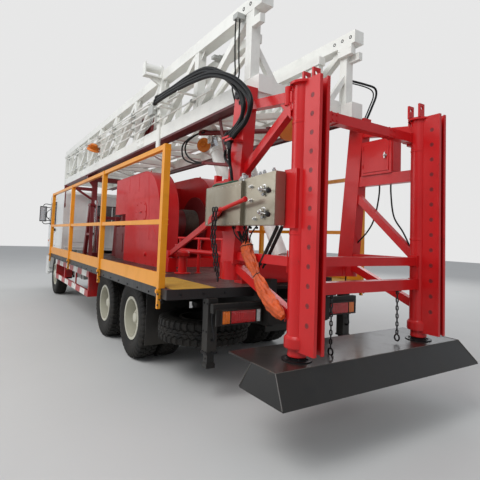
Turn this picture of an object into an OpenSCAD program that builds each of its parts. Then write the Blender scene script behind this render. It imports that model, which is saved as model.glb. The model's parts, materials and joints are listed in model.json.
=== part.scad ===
// Truck-mounted workover rig, parked with its mast lying over deck and cab.
// Millimetres. +X points to the cab, +Y to the left, +Z up, ground at z = 0.
// Lengths along the truck are stations, counted forward from the rear legs.

/* [Chassis] */
// Outer radius of a tyre
tyre_r = 525; // [500:5:530]
// Width of one tyre
tyre_w = 270; // [240:5:280]
// Radius of a wheel rim at its flange
rim_r = 285; // [270:5:300]
// Station of the rearmost axle
rear_axle_x = 2950; // [2900:10:3000]
// Distance between the two rear axles
tandem_pitch = 1350; // [1320:10:1400]
// Distance from the middle axle to the front axle
wheelbase = 5100; // [5000:10:5150]
// Half width over the rear tyres
track_half = 1200; // [1190:5:1220]
// Spacing of the two tyres of a twin wheel
twin_pitch = 320; // [310:5:330]
// Height of the frame rails
rail_h = 280; // [240:10:290]
// Half width over the frame rails
rail_half = 435; // [425:5:440]
// Width of one frame rail
rail_w = 80; // [70:5:90]
// Top of the frame rails above ground
rail_top = 1030; // [1020:5:1035]

/* [Deck] */
// Top of the deck above ground
deck_top = 1130; // [1125:5:1150]
// Half width of the deck
deck_half = 1450; // [1440:5:1480]
// Station of the deck's rear edge
deck_rear = 1150; // [1140:10:1180]
// Station of the deck's front edge
deck_front = 8350; // [8320:10:8360]
// Depth of the edge beam
edge_h = 100; // [80:5:100]
// Height of the hand rail above the deck
hand_rail_h = 1440; // [1300:10:1500]
// Height of the middle rail above the deck
mid_rail_h = 680; // [600:10:800]
// Side of a rail post
rail_post = 65; // [50:5:70]
// Height of the toe board
toe_h = 150; // [100:5:180]

/* [Cab] */
// Station of the cab's back wall
cab_rear = 8450; // [8440:10:8460]
// Length of the cab
cab_len = 2300; // [2280:10:2330]
// Half width of the cab
cab_half = 1200; // [1180:5:1220]
// Top of the cab above ground
cab_top = 2690; // [2640:10:2750]
// Underside of the cab above ground
cab_floor = 1200; // [1190:5:1220]
// Thickness of the cab walls and doors
cab_wall = 50; // [40:1:60]

/* [Rear frame] */
// Half distance between the two rear legs
leg_half = 800; // [798:1:806]
// Radius of a leg tube
leg_r = 88; // [80:1:92]
// Top of a leg's flange above ground
leg_top = 2950; // [2940:1:2960]
// Spacing of the pin holes in a leg
hole_pitch = 150; // [130:5:160]
// Radius of a pin hole in a leg
hole_r = 13; // [8:1:16]
// Top of the front posts above ground
post_top = 3130; // [3120:1:3150]

/* [Base beam] */
// Top of the base beam above ground
beam_top = 700; // [690:1:705]
// Height of the base beam
beam_h = 200; // [160:5:220]
// Half length of the base beam across the truck
beam_half = 1170; // [1100:5:1200]

/* [Mast] */
// Station of the mast's hinge pin
pivot_x = 820; // [815:1:825]
// Height of the mast's hinge pin
pivot_z = 3060; // [3056:1:3064]
// Half width over the mast
mast_half = 755; // [745:1:757]
// Underside of the mast above ground
mast_low = 3110; // [3108:1:3118]
// Overall depth of the mast
mast_depth = 1060; // [1040:5:1080]
// Width and depth of a lower chord
chord_low = 180; // [170:5:190]
// Width and depth of an upper chord
chord_top = 150; // [130:5:160]
// Distance from one mast post to the next
mast_bay = 1210; // [1190:5:1230]
// Station of the front end of the lower mast section
mast_front = 11350; // [11300:10:11400]
// Length of the crown ahead of the lower mast section
crown_len = 650; // [600:10:700]

/* [Hidden] */
$fn = 48;
seat = 0.3;
clear = 10;
beam_flare = 170;
beam_back = 200 + beam_flare;
crown_front = mast_front + crown_len;
x_mid = (crown_front - beam_back) / 2;
mid_axle_x = rear_axle_x + tandem_pitch;
front_axle_x = mid_axle_x + wheelbase;
cab_front = cab_rear + cab_len;
mast_top = mast_low + mast_depth;
rail_low = rail_top - rail_h;
rail_in = rail_half - rail_w;
plate_t = 8;
deck_under = deck_top - plate_t;
edge_w = 80;
deck_in = deck_half - edge_w;
twin_y = track_half - tyre_w / 2;
front_tyre_y = track_half - 35 - tyre_w / 2;
king_y = front_tyre_y - 240;
stub_r = 45;
run = 0.5;

// Everything is drawn in stations and then moved so that x = 0 is mid-length.
module placed() { translate([-x_mid, 0, 0]) children(); }
module box(x0, x1, y0, y1, z0, z1) { translate([x0, y0, z0]) cube([x1 - x0, y1 - y0, z1 - z0]); }
module both() { children(); mirror([0, 1, 0]) children(); }
module side(left) { mirror([0, left ? 0 : 1, 0]) children(); }
module across(x, z, y0, y1, r) { translate([x, y0, z]) rotate([-90, 0, 0]) cylinder(h = y1 - y0, r = r); }
module upright(x, y, z0, z1, r) { translate([x, y, z0]) cylinder(h = z1 - z0, r = r); }
module along(x0, x1, y, z, r) { translate([x0, y, z]) rotate([0, 90, 0]) cylinder(h = x1 - x0, r = r); }
// Bar of depth t between [x, z] points a and b, from y0 to y1
module bar_side(a, b, y0, y1, t) {
    d = b - a;
    translate([a[0], y0, a[1]]) rotate([0, -atan2(d[1], d[0]), 0])
        translate([0, 0, -t / 2]) cube([norm(d), y1 - y0, t]);
}
// Bar of width t between [x, y] points a and b, from z0 to z1
module bar_plan(a, b, z0, z1, t) {
    d = b - a;
    translate([a[0], a[1], z0]) rotate([0, 0, atan2(d[1], d[0])])
        translate([0, -t / 2, 0]) cube([norm(d), t, z1 - z0]);
}
// Outline of [x, z] points drawn from y0 to y1
module slab(points, y0, y1) {
    translate([0, y1, 0]) rotate([90, 0, 0]) linear_extrude(y1 - y0) polygon(points);
}

// Frame rails with their cross members
member_x = [900, 1900, 3600, 5300, 6800, 8200, 10500];
member_half = rail_half - plate_t - seat;
module chassis_frame() {
    color("#232323") placed() {
        both() difference() {
            box(900, cab_front - 100, rail_in, rail_half, rail_low, rail_top);
            box(890, cab_front - 90, rail_in - 1, rail_half - plate_t, rail_low + plate_t,
                rail_top - plate_t);
        }
        for (x = member_x)
            box(x, x + 90, -member_half, member_half, rail_low + 40, rail_top - 40);
    }
}

// Rails and bearers that carry the deck, clear of the tyres
spare_x = 1800;
bearer_x = [deck_rear + 100, spare_x - 40, rear_axle_x - 350, mid_axle_x - tandem_pitch / 2 - 40,
    mid_axle_x + 340, 5500, 6300, 7100, 7700, deck_front - 150];
module subframe() {
    color("#2b2b2b") placed() {
        both() {
            box(850, deck_front, rail_in, rail_half, rail_top, deck_under);
            for (x = bearer_x) box(x, x + 80, rail_half + seat, deck_in, deck_under - 75, deck_under - seat);
            box(850, 1090, rail_in, rail_half, deck_under, 1240);
        }
    }
}

// Checker plate with a deep edge, open between the halves at the rear
module deck() {
    color("#4a2d26") placed() difference() {
        union() {
            box(deck_rear, deck_front, -deck_in, deck_in, deck_under, deck_top);
            both() box(deck_rear, deck_front, deck_in, deck_half, deck_top - edge_h, deck_top);
            both() box(deck_rear, deck_rear + edge_w, rail_half, deck_in, deck_top - edge_h, deck_top);
        }
        box(deck_rear - 1, 1700, -300, 300, deck_under - 10, deck_top + 1);
        both() box(deck_rear + plate_t, deck_rear + edge_w + 1, rail_half + plate_t, deck_in,
            deck_top - edge_h - 1, deck_under);
    }
}

// Hand rail, middle rail, toe board and posts with their hooks
post_count = 4;
first_post_x = deck_rear + 130;
post_pitch = (deck_front - rail_post - first_post_x) / (post_count - 1);
module railing(left) {
    y0 = deck_half - rail_post / 2;
    y1 = deck_half + rail_post / 2;
    hook = 200;
    last = first_post_x + (post_count - 1) * post_pitch;
    color("#e8a22c") placed() side(left) {
        for (i = [0:post_count - 1]) {
            x = first_post_x + i * post_pitch;
            box(x, x + rail_post, y0, y1, deck_top + seat, deck_top + hand_rail_h);
            box(x + 15, x + 50, deck_half + seat, y1, deck_top - hook, deck_top + 1);
            across(x + 32, deck_top - 30, deck_half + seat, y1 + 15, 20);
        }
        for (z = [mid_rail_h, hand_rail_h])
            box(first_post_x, last + rail_post, y0 + 8, y1 - 8, deck_top + z - 50, deck_top + z);
        box(first_post_x, last + rail_post, y0 + 20, y1 - 20, deck_top + seat, deck_top + toe_h);
    }
}
module railing_left() { railing(true); }
module railing_right() { railing(false); }

// Striped guard between the front and middle wheels
guard_y = track_half + 50;
guard_x0 = mid_axle_x + tyre_r + 200;
guard_x1 = front_axle_x - tyre_r - 330;
module side_guard(left) {
    color("#b3201c") placed() side(left) {
        for (z = [520, 860]) box(guard_x0, guard_x1, guard_y, guard_y + 40, z, z + 110);
        for (i = [0:3]) {
            x = guard_x0 + i * (guard_x1 - guard_x0 - 60) / 3;
            box(x, x + 60, guard_y, guard_y + 30, 530, 960);
        }
        for (x = [guard_x0, guard_x1 - 60]) {
            box(x, x + 12, guard_y - 350, guard_y + 30, 520, 965);
            box(x, x + 60, rail_half, guard_y + 30, 925, 965);
        }
    }
}
module side_guard_left() { side_guard(true); }
module side_guard_right() { side_guard(false); }

// Bumper, fenders and steps, held by the rail ends
module front_bumper() {
    arch = tyre_r + 130;
    color("#dcdcd8") placed() {
        difference() {
            box(cab_front - 330, cab_front + 40, -cab_half, cab_half, 430, 930);
            box(cab_front - 340, cab_front - 20, -cab_half + 60, cab_half - 60, 420, 940);
        }
        box(cab_front - 100, cab_front - 20, -rail_half, rail_half, rail_low, 900);
        both() {
            difference() {
                across(front_axle_x, tyre_r, 890, cab_half, arch + 25);
                across(front_axle_x, tyre_r, 880, cab_half + 10, arch);
                box(front_axle_x - 900, front_axle_x + 900, 800, 1300, -300, tyre_r + 120);
                box(front_axle_x - 900, front_axle_x + 900, 800, 1300, cab_floor - seat, 2000);
            }
            for (z = [520, 840])
                box(front_axle_x + arch + 30, cab_front - 330, 900, cab_half, z, z + 40);
            box(front_axle_x + arch + 30, front_axle_x + arch + 60, 900, cab_half, 520, 1150);
            box(front_axle_x + arch - 20, front_axle_x + arch + 50, 900, 960, 655, 705);
            box(cab_front - 345, cab_front - 320, 900, cab_half - 5, 515, 925);
        }
    }
}

// Cab body: sloped front, flat roof, open arch of the floor left to the fenders
function cab_outline(t) = [
    [cab_rear + t, cab_floor + t], [cab_front - t, cab_floor + t], [cab_front + 20 - t, 1750],
    [cab_front - 130 - t, cab_top - 90 - t / 2], [cab_front - 260 - t / 2, cab_top - t],
    [cab_rear + 120 + t / 2, cab_top - t], [cab_rear + t, cab_top - 80 - t / 2]];
door_x0 = cab_front - 1330;
door_x1 = cab_front - 300;
door_z0 = cab_floor + 70;
door_z1 = cab_top - 150;
pane_z0 = 1830;
// Door hinges: a pin between two lugs on the cab, an eye on the door between them
hinge_x = door_x1 - clear;
hinge_y = cab_half + 14;
hinge_z = [1420, 2330];
hinge_r = 12;
hinge_pin = 8;
lug_t = 20;
hinge_h = 90;
module hinge_lug(z) {
    upright(hinge_x, hinge_y, z, z + lug_t, hinge_r);
    box(hinge_x, door_x1 + 50, hinge_y - hinge_r, hinge_y + hinge_r, z, z + lug_t);
}
shield_z0 = 1800;
shield_z1 = cab_top - 190;
module cab_shell() {
    color("#eeeeea") placed() difference() {
        union() {
            slab(cab_outline(0), -cab_half, cab_half);
            box(cab_front - 30, cab_front + 12, -cab_half + 150, cab_half - 150, 930 + seat, cab_floor + 20);
            both() box(cab_rear + 200, cab_front - 300, rail_in, rail_half, rail_top, cab_floor);
        }
        difference() {
            slab(cab_outline(cab_wall), -cab_half + cab_wall, cab_half - cab_wall);
            box(cab_rear + 700, cab_front - 700, -430, 430, cab_floor, cab_floor + 330);
        }
        box(cab_rear + 750, cab_front - 750, -380, 380, cab_floor - 1, cab_floor + 280);
        both() box(door_x0, door_x1, cab_half - cab_wall - 1, cab_half + 1, door_z0, door_z1);
        box(cab_front - 400, cab_front + 60, -cab_half + 110, cab_half - 110, shield_z0, shield_z1);
        box(cab_rear - 1, cab_rear + cab_wall + 1, -500, 500, 1900, 2350);
    }
    color("#eeeeea") placed() both() for (z = hinge_z) {
        hinge_lug(z);
        hinge_lug(z + hinge_h - lug_t);
        upright(hinge_x, hinge_y, z + 1, z + hinge_h - 1, hinge_pin);
        box(door_x1 + 10, door_x1 + 50, cab_half - 1, hinge_y, z, z + hinge_h);
    }
}

// Windscreen and rear window, 6 mm glass with 1 mm all round
module cab_glass() {
    e = 1;
    slope = 150 / (cab_top - 90 - 1750);
    color("#20303a") placed() {
        slab([for (p = [[shield_z0 + e, 30], [shield_z1 - e, 30], [shield_z1 - e, 38], [shield_z0 + e, 38]])
            [cab_front + 20 - slope * (p[0] - 1750) - p[1], p[0]]],
            -cab_half + 110 + seat, cab_half - 110 - seat);
        box(cab_rear + 20, cab_rear + 28, -500 + seat, 500 - seat, 1900 + seat, 2350 - seat);
    }
}

// Seats, dashboard, steering wheel
module cab_interior() {
    floor_z = cab_floor + cab_wall;
    color("#3c3f44") placed() {
        both() {
            box(cab_front - 1150, cab_front - 1050, 560, 840, floor_z + seat, floor_z + 320);
            box(cab_front - 1300, cab_front - 800, 480, 960, floor_z + 320, floor_z + 440);
            box(cab_front - 1400, cab_front - 1290, 480, 960, floor_z + 320, floor_z + 1000);
            box(cab_front - 1385, cab_front - 1310, 600, 840, floor_z + 1000, floor_z + 1180);
        }
        box(cab_front - 420, cab_front - 60, -cab_half + cab_wall + clear, cab_half - cab_wall - clear,
            cab_floor + 340, cab_floor + 560);
        both() box(cab_front - 420, cab_front - 360, 500, 560, floor_z + seat, cab_floor + 340);
        translate([cab_front - 520, 700, 1900]) rotate([0, -55, 0]) {
            rotate_extrude() translate([215, 0]) circle(r = 14, $fn = 16);
            cylinder(h = 12, r = 60);
            for (a = [0, 120, 240]) rotate([0, 0, a]) translate([0, -12, 0]) cube([215, 24, 10]);
            translate([0, 0, -240]) cylinder(h = 245, r = 26);
        }
    }
}

// Mirrors on two arms each, ahead of the doors
module mirrors() {
    color("#191919") placed() both() {
        for (z = [1950, 2330])
            box(cab_front - 165, cab_front - 135, cab_half + seat, cab_half + 190, z, z + 20);
        box(cab_front - 170, cab_front - 130, cab_half + 100, cab_half + 280, 1930, 2370);
    }
}

// Doors hung at their front edge, with the window cut
module door(left) {
    color("#eeeeea") placed() side(left) difference() {
        box(door_x0 + clear, door_x1 - clear, cab_half - cab_wall, cab_half,
            door_z0 + clear, door_z1 - clear);
        box(door_x0 + 110, door_x1 - 110, cab_half - cab_wall - 1, cab_half + 1, pane_z0, door_z1 - 90);
    }
    color("#eeeeea") placed() side(left) for (z = hinge_z) difference() {
        union() {
            upright(hinge_x, hinge_y, z + lug_t + 1, z + hinge_h - lug_t - 1, hinge_r);
            box(hinge_x - 45, hinge_x, cab_half - 1, hinge_y, z + lug_t + 1, z + hinge_h - lug_t - 1);
        }
        upright(hinge_x, hinge_y, z, z + hinge_h, hinge_pin + run);
    }
}
module door_left() { door(true); }
module door_right() { door(false); }
module door_pane(left) {
    color("#20303a") placed() side(left)
        box(door_x0 + 110 + seat, door_x1 - 110 - seat, cab_half - 30, cab_half - 22,
            pane_z0 + seat, door_z1 - 90 - seat);
}
module door_glass_left() { door_pane(true); }
module door_glass_right() { door_pane(false); }

// Engine and gearbox as one plain block on its mounts, with the shaft to the rear axles
nose_x = 260;
shaft_z = 645;
module engine_block() {
    color("#5a5c5e") placed() {
        box(cab_rear + 800, cab_front - 800, -rail_in + 2, rail_in - 2, 600, 1420);
        box(cab_rear + 100, cab_rear + 801, -200, 200, 590, 1010);
        for (x = [cab_rear + 900, cab_front - 950])
            box(x, x + 80, -rail_half + plate_t + seat, rail_half - plate_t - seat, 800, 980);
        along(mid_axle_x + nose_x, cab_rear + 101, 0, shaft_z, 40);
    }
}

// Fuel tank on the right, battery and tool box on the left
tank_len = 1200;
tank_r = 260;
tank_x = front_axle_x - tyre_r - 775 - tank_len;
tank_z = rail_top - 250;
module side_tanks() {
    color("#c9c9c4") placed() {
        mirror([0, 1, 0]) {
            along(tank_x, tank_x + tank_len, rail_half + tank_r + 85, tank_z, tank_r);
            for (x = [tank_x + 150, tank_x + tank_len - 250])
                box(x, x + 60, rail_half, rail_half + 185, tank_z - 40, tank_z + 220);
        }
        box(tank_x, tank_x + tank_len - 100, rail_half + 65, rail_half + 525, tank_z - 160, tank_z + 240);
        for (x = [tank_x + 100, tank_x + tank_len - 300])
            box(x, x + 60, rail_half, rail_half + 65, tank_z - 40, tank_z + 220);
    }
}

// Rear axles: beam, differential, drums and leaf springs
module rear_axles() {
    hub_in = twin_y - twin_pitch - tyre_w / 2;
    color("#2e2e2e") placed() {
        for (x = [rear_axle_x, mid_axle_x]) {
            across(x, tyre_r, -hub_in + 60, hub_in - 60, 65);
            across(x, tyre_r, -110, 110, 190);
            along(x - nose_x, x + nose_x, 0, shaft_z, 70);
            both() across(x, tyre_r, hub_in - 100, hub_in - 10, 200);
            both() across(x, tyre_r, hub_in - 60, twin_y + 10, stub_r);
        }
        both() {
            for (k = [0:4])
                box(rear_axle_x - 40 + k * 110, mid_axle_x + 40 - k * 110, rail_in, rail_half - 5,
                    tyre_r + 45 + k * 18, tyre_r + 64 + k * 18);
            box(rear_axle_x + 590, rear_axle_x + 760, rail_in, rail_half - 5, tyre_r + 130, rail_low - seat);
        }
        along(rear_axle_x + nose_x - 1, mid_axle_x - nose_x + 1, 0, shaft_z, 40);
    }
}

// Front axle beam with its king pins and springs
pin_r = 25;
module front_axle() {
    color("#2e2e2e") placed() {
        box(front_axle_x - 60, front_axle_x + 60, -king_y + 80, king_y - 80, 420, 520);
        both() {
            upright(front_axle_x, king_y, 440, 620, 42);
            upright(front_axle_x, king_y, 397, 663, pin_r);
            box(front_axle_x - 45, front_axle_x + 45, king_y - 110, king_y, 480, 580);
            for (k = [0:3])
                box(front_axle_x - 750 + k * 130, front_axle_x + 750 - k * 130, rail_in, rail_half - 5,
                    556 - k * 18, 575 - k * 18);
            box(front_axle_x - 60, front_axle_x + 60, rail_in, rail_half - 5, 460, 520);
            for (x = [front_axle_x - 750, front_axle_x + 690])
                box(x, x + 60, rail_in, rail_half - 5, 556, rail_low - seat);
        }
    }
}

// Steering knuckle around the king pin, with its stub axle
module knuckle(left) {
    color("#3a3a3a") placed() side(left) difference() {
        union() {
            upright(front_axle_x, king_y, 395, 435, 70);
            upright(front_axle_x, king_y, 625, 665, 70);
            box(front_axle_x - 60, front_axle_x + 60, king_y + 50, king_y + 90, 395, 665);
            box(front_axle_x - 60, front_axle_x + 60, king_y - 10, king_y + 60, 395, 435);
            box(front_axle_x - 60, front_axle_x + 60, king_y - 10, king_y + 60, 625, 665);
            across(front_axle_x, tyre_r, king_y + 80, front_tyre_y + 50, stub_r);
            across(front_axle_x, tyre_r, king_y + 90, king_y + 100, 190);
        }
        upright(front_axle_x, king_y, 435, 625, 48);
        upright(front_axle_x, king_y, 390, 670, pin_r + run);
    }
}
module knuckle_left() { knuckle(true); }
module knuckle_right() { knuckle(false); }

// Tyre section with a rounded crown, turned about the axle
module tyre_ring(x, y) {
    r_in = rim_r - 20;
    h = tyre_w / 2;
    translate([x, y, tyre_r]) rotate([90, 0, 0]) rotate_extrude($fn = 64)
        polygon([[r_in, -h * 0.72], [r_in + 60, -h * 0.92], [r_in + 130, -h], [tyre_r - 45, -h * 0.93],
            [tyre_r - 5, -h * 0.78], [tyre_r, -h * 0.4], [tyre_r, h * 0.4], [tyre_r - 5, h * 0.78],
            [tyre_r - 45, h * 0.93], [r_in + 130, h], [r_in + 60, h * 0.92], [r_in, h * 0.72]]);
}
// Steel rim from y0 to y1 with a lip at each end
module rim_barrel(x, y0, y1) {
    r_out = rim_r - 20 - seat;
    difference() {
        union() {
            across(x, tyre_r, y0, y1, r_out);
            across(x, tyre_r, y1 - 8, y1, rim_r);
            across(x, tyre_r, y0, y0 + 8, rim_r);
        }
        across(x, tyre_r, y0 - 1, y1 + 1, r_out - 14);
    }
}
// Disc and hub, bored from inside for the stub axle
module hub(x, y_disc, y_cap, y_stub) {
    difference() {
        union() {
            across(x, tyre_r, y_disc, y_disc + 16, rim_r - 30);
            across(x, tyre_r, y_disc, y_cap, 110);
        }
        across(x, tyre_r, y_disc - 1, y_stub + 5, stub_r + run);
        for (a = [0:36:324])
            translate([x, y_disc - 1, tyre_r]) rotate([-90, 0, 0]) rotate([0, 0, a])
                translate([185, 0, 0]) cylinder(h = 20, r = 24);
    }
}
bead = 117;
module front_tyre(left) { color("#1d1d1d") placed() side(left) tyre_ring(front_axle_x, front_tyre_y); }
module front_rim(left) {
    color("#d9d6c4") placed() side(left) {
        rim_barrel(front_axle_x, front_tyre_y - bead, front_tyre_y + bead);
        hub(front_axle_x, front_tyre_y + 30, front_tyre_y + 115, front_tyre_y + 50);
    }
}
module tyre_front_left() { front_tyre(true); }
module tyre_front_right() { front_tyre(false); }
module rim_front_left() { front_rim(true); }
module rim_front_right() { front_rim(false); }
module twin_tyres(x, left) {
    color("#1d1d1d") placed() side(left) for (d = [0, twin_pitch]) tyre_ring(x, twin_y - d);
}
module twin_rims(x, left) {
    color("#d9d6c4") placed() side(left) {
        rim_barrel(x, twin_y - twin_pitch - bead, twin_y + bead);
        hub(x, twin_y - twin_pitch / 2 - 8, twin_y + 35, twin_y + 10);
    }
}
module tyres_middle_left() { twin_tyres(mid_axle_x, true); }
module tyres_middle_right() { twin_tyres(mid_axle_x, false); }
module tyres_rear_left() { twin_tyres(rear_axle_x, true); }
module tyres_rear_right() { twin_tyres(rear_axle_x, false); }
module rims_middle_left() { twin_rims(mid_axle_x, true); }
module rims_middle_right() { twin_rims(mid_axle_x, false); }
module rims_rear_left() { twin_rims(rear_axle_x, true); }
module rims_rear_right() { twin_rims(rear_axle_x, false); }

// Spare wheel hung flat under the rear deck
spare_z = rail_low - 10 - tyre_w / 2;
module spare_wheel() {
    h = tyre_w / 2;
    color("#1d1d1d") placed() translate([spare_x, 690, spare_z]) {
        rotate_extrude($fn = 64)
            polygon([[0, -10], [rim_r - 20, -10], [rim_r - 20, -h * 0.72], [rim_r + 110, -h],
                [tyre_r - 5, -h * 0.78], [tyre_r, 0], [tyre_r - 5, h * 0.78], [rim_r + 110, h],
                [rim_r - 20, h * 0.72], [rim_r - 20, 10], [0, 10]]);
        cylinder(h = deck_under - 75 - seat - spare_z, r = 30);
    }
}

// Rear cross beam with two tail lamps and mud flaps
module tail_beam() {
    color("#1f1f1f") placed() {
        box(900 - 30, 900, -rail_half, rail_half, rail_low + 20, rail_top - 10);
        both() {
            box(1000, 1060, rail_half, stab_y + stab_w / 2, 900, 990);
            box(980, 1000, 450, 990, 780, 940);
            box(1000, 1020, 700, 760, 780, 900);
            box(rear_axle_x - tyre_r - 90, rear_axle_x - tyre_r - 82, 620, 1200, 300, deck_under - 75);
            box(rear_axle_x - tyre_r - 110, rear_axle_x - tyre_r - 70, rail_half, 1200,
                deck_under - 75, deck_under - 35);
        }
    }
}

// Stabiliser at each rear corner of the deck: fixed sleeve, sliding leg
stab_x = deck_rear + 10;
stab_y = deck_half - 490;
stab_w = 110;
leg_w = 80;
foot_w = 100;
foot_z = 340;
module stabiliser_sleeves() {
    color("#1c1c1c") placed() both() difference() {
        union() {
            box(stab_x - stab_w / 2, stab_x + stab_w / 2, stab_y - stab_w / 2, stab_y + stab_w / 2,
                480, deck_top - edge_h);
            box(stab_x - 60, stab_x + 60, rail_half, stab_y - stab_w / 2, 790, 890);
        }
        box(stab_x - leg_w / 2 - run, stab_x + leg_w / 2 + run, stab_y - leg_w / 2 - run,
            stab_y + leg_w / 2 + run, 470, 1000);
    }
}
module stabiliser(left) {
    color("#262626") placed() side(left) {
        box(stab_x - leg_w / 2, stab_x + leg_w / 2, stab_y - leg_w / 2, stab_y + leg_w / 2, foot_z + 40, 990);
        box(stab_x - foot_w / 2, stab_x + foot_w / 2, stab_y - foot_w / 2, stab_y + foot_w / 2,
            foot_z, foot_z + 40);
    }
}
module stabiliser_left() { stabiliser(true); }
module stabiliser_right() { stabiliser(false); }

// One side of the red frame: leg with its pin-hole channel, front post and braces
leg_low = 800;
lug_z = pivot_z - 20;
lug_y = mast_half - 30;
post_y0 = mast_half + 15;
post_y1 = post_y0 + 130;
pad_y = 690;
rod_r = 45;
module rear_frame(left) {
    chan = 235;
    color("#c81e1e") placed() side(left) difference() {
        union() {
            upright(0, leg_half, leg_low, leg_top - 20, leg_r);
            upright(0, leg_half, leg_low, leg_low + 80, leg_r + 18);
            upright(0, leg_half, leg_low - 70, leg_low, 75);
            upright(0, leg_half, leg_top - 20, leg_top, 120);
            for (y = [leg_half - 55, leg_half + 43]) box(-chan, 0, y, y + 12, leg_low - 20, leg_top);
            for (y = [leg_half - 55, leg_half + 25]) box(-chan - 12, -chan, y, y + 30, leg_low - 20, leg_top);
            for (x = [-70, 50]) box(x, x + 20, lug_y - 40, lug_y + 40, leg_top - 1, lug_z + 45);
            upright(140, leg_half + 50, 2790, leg_top, 32);
            box(60, 140, leg_half + 30, leg_half + 50, 2810, 2930);
            slab([[860, 1400], [1090, 1400], [925, post_top], [715, post_top]], post_y0, post_y1);
            upright(975, (post_y0 + post_y1) / 2, 1240 + seat, 1420, 105);
            bar_side([60, 1475], [1000, 1475], leg_half - 20, leg_half + 60, 80);
            bar_side([60, 2850], [780, 2950], leg_half - 20, leg_half + 60, 90);
            bar_side([60, 1040], [960, 1390], leg_half - 15, leg_half + 55, 80);
            if (left) bar_side([70, 2800], [860, 2280], leg_half - 15, leg_half + 55, 80);
            else {
                bar_side([60, 2370], [820, 2370], leg_half - 20, leg_half + 60, 120);
                bar_side([60, 1520], [880, 2240], leg_half - 15, leg_half + 55, 80);
            }
            for (z = [1200, 1430]) box(-50, 50, pad_y, leg_half, z, z + 110);
            box(30, 130, pad_y, leg_half, 2700, 2800);
            box(60, 130, leg_half - 40, leg_half + 40, 2680, 2820);
            box(925, 1035, pad_y, post_y0 + 10, 1240 + seat, 1420);
        }
        upright(0, leg_half, leg_low - 80, 1700, rod_r + run);
        across(pivot_x, pivot_z, post_y0 - 1, post_y1 + 1, 35 + run);
        for (z = [leg_low + 200:hole_pitch:leg_top - 90])
            across(-165, z, leg_half - 60, leg_half + 60, hole_r);
        for (x = [-80, 40]) along(x, x + 40, lug_y, lug_z, 20);
    }
}
module rear_frame_left() { rear_frame(true); }
module rear_frame_right() { rear_frame(false); }

// Beams between the two sides
module cross_beams() {
    color("#c81e1e") placed() {
        box(-50, 50, -pad_y, pad_y, 1205, 1305);
        box(-40, 40, -pad_y, pad_y, 1440, 1520);
        box(35, 125, -pad_y, pad_y, 2705, 2795);
        box(930, 1030, -pad_y, pad_y, 1240, 1400);
        box(base_x - 80, base_x + 80, -420, 420, deck_top + seat, 1230);
        both() for (y = [ram_y - 65, ram_y + 45]) difference() {
            slab([[base_x - 75, 1229], [base_x + 75, 1229], [base_x + 45, base_z + 55],
                [base_x - 45, base_z + 55]], y, y + 20);
            across(base_x, base_z, y - 1, y + 21, 30 + run);
        }
    }
}

// Jack rods with their feet, sliding in the legs
module jack_rods() {
    color("#1a1a1a") placed() both() {
        upright(0, leg_half, beam_top + 15, 1400, rod_r);
        upright(0, leg_half, beam_top, beam_top + 15, 95);
    }
}

// Base beam: a bevelled box with a flat apron, hung under the jacks
module base_beam() {
    z0 = beam_top - beam_h;
    color("#202224") placed() {
        intersection() {
            slab([[-200, beam_top], [100, beam_top], [170, z0], [-beam_back, z0]],
                -beam_half - 60, beam_half + 60);
            translate([-beam_back - 1, 0, 0]) rotate([90, 0, 90]) linear_extrude(700)
                polygon([[-beam_half, beam_top], [beam_half, beam_top], [beam_half + 60, z0],
                    [-beam_half - 60, z0]]);
        }
        box(90, 440, -beam_half, beam_half, beam_top - 16, beam_top);
        both() box(100, 440, beam_half - 200, beam_half - 180, beam_top - 90, beam_top - 10);
    }
}

// One lattice side of the lower mast section, with hinge lug and pin and the foot of its upper chord
chord_z0 = mast_top - chord_top;
chord_z1 = mast_low + chord_low;
mast_rear = pivot_x - 90;
post_w = 110;
post_x = [for (x = [mast_rear + 215:mast_bay:mast_front - 300]) x];
foot_z0 = pivot_z + pivot_x;
module mast_side(left) {
    brace_y = mast_half - 95;
    color("#f2f2ee") placed() side(left) {
        box(mast_rear, mast_front, mast_half - chord_low, mast_half, mast_low, mast_low + chord_low);
        box(mast_rear, mast_front, mast_half - chord_top, mast_half, chord_z0, mast_top);
        for (x = concat(post_x, [mast_front - post_w / 2]))
            box(x - post_w / 2, x + post_w / 2, mast_half - post_w, mast_half - 1,
                mast_low + 1, mast_top - 1);
        for (i = [1:len(post_x) - 1])
            bar_side([post_x[i], chord_z1 - 30], [post_x[i - 1], chord_z0 + 30], brace_y, brace_y + 80, 80);
        box(pivot_x - 60, pivot_x + 60, mast_half - 140, mast_half - 20, pivot_z, mast_low + 1);
        across(pivot_x, pivot_z, mast_half - 140, mast_half - 20, 62);
        across(pivot_x, pivot_z, mast_half - 140, post_y1 + 30, 35);
        box(pivot_x - 75, pivot_x + 75, lug_y - 30, lug_y + 30, foot_z0 - 45, foot_z0 + 45);
        box(pivot_x + 35, pivot_x + 75, lug_y - 30, lug_y + 30, foot_z0 + 44, chord_z0 + 1);
        box(mast_front - 150, mast_front, up_half - up_chord, mast_half - chord_low + 1,
            chord_z1 - 50, chord_z1 - 5);
        box(mast_front - 150, mast_front, up_half - up_chord, up_half - 28, chord_z1 - 6, up_low - seat);
        if (left) hose_roller(post_x[2]);
    }
}
// Guide plate on the left side, with the roller that the hoses run over
module hose_roller(x) {
    face = mast_half + 20;
    tray = mast_top - 125;
    box(x - 60, x + 60, mast_half - 5, face, mast_low - 140, mast_top + 60);
    box(x - 60, x + 60, face - 1, face + 265, tray, tray + 18);
    for (y = [face - 1, face + 250]) box(x - 60, x + 60, y, y + 15, tray + 17, mast_top + 80);
    across(x, mast_top + 8, face + 5, face + 260, 60);
    translate([x - 20, 0, 0]) rotate([90, 0, 90]) linear_extrude(40)
        polygon([[face - 1, tray - 110], [face + 200, tray + 1], [face - 1, tray + 1]]);
}
module mast_side_left() { mast_side(true); }
module mast_side_right() { mast_side(false); }

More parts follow.
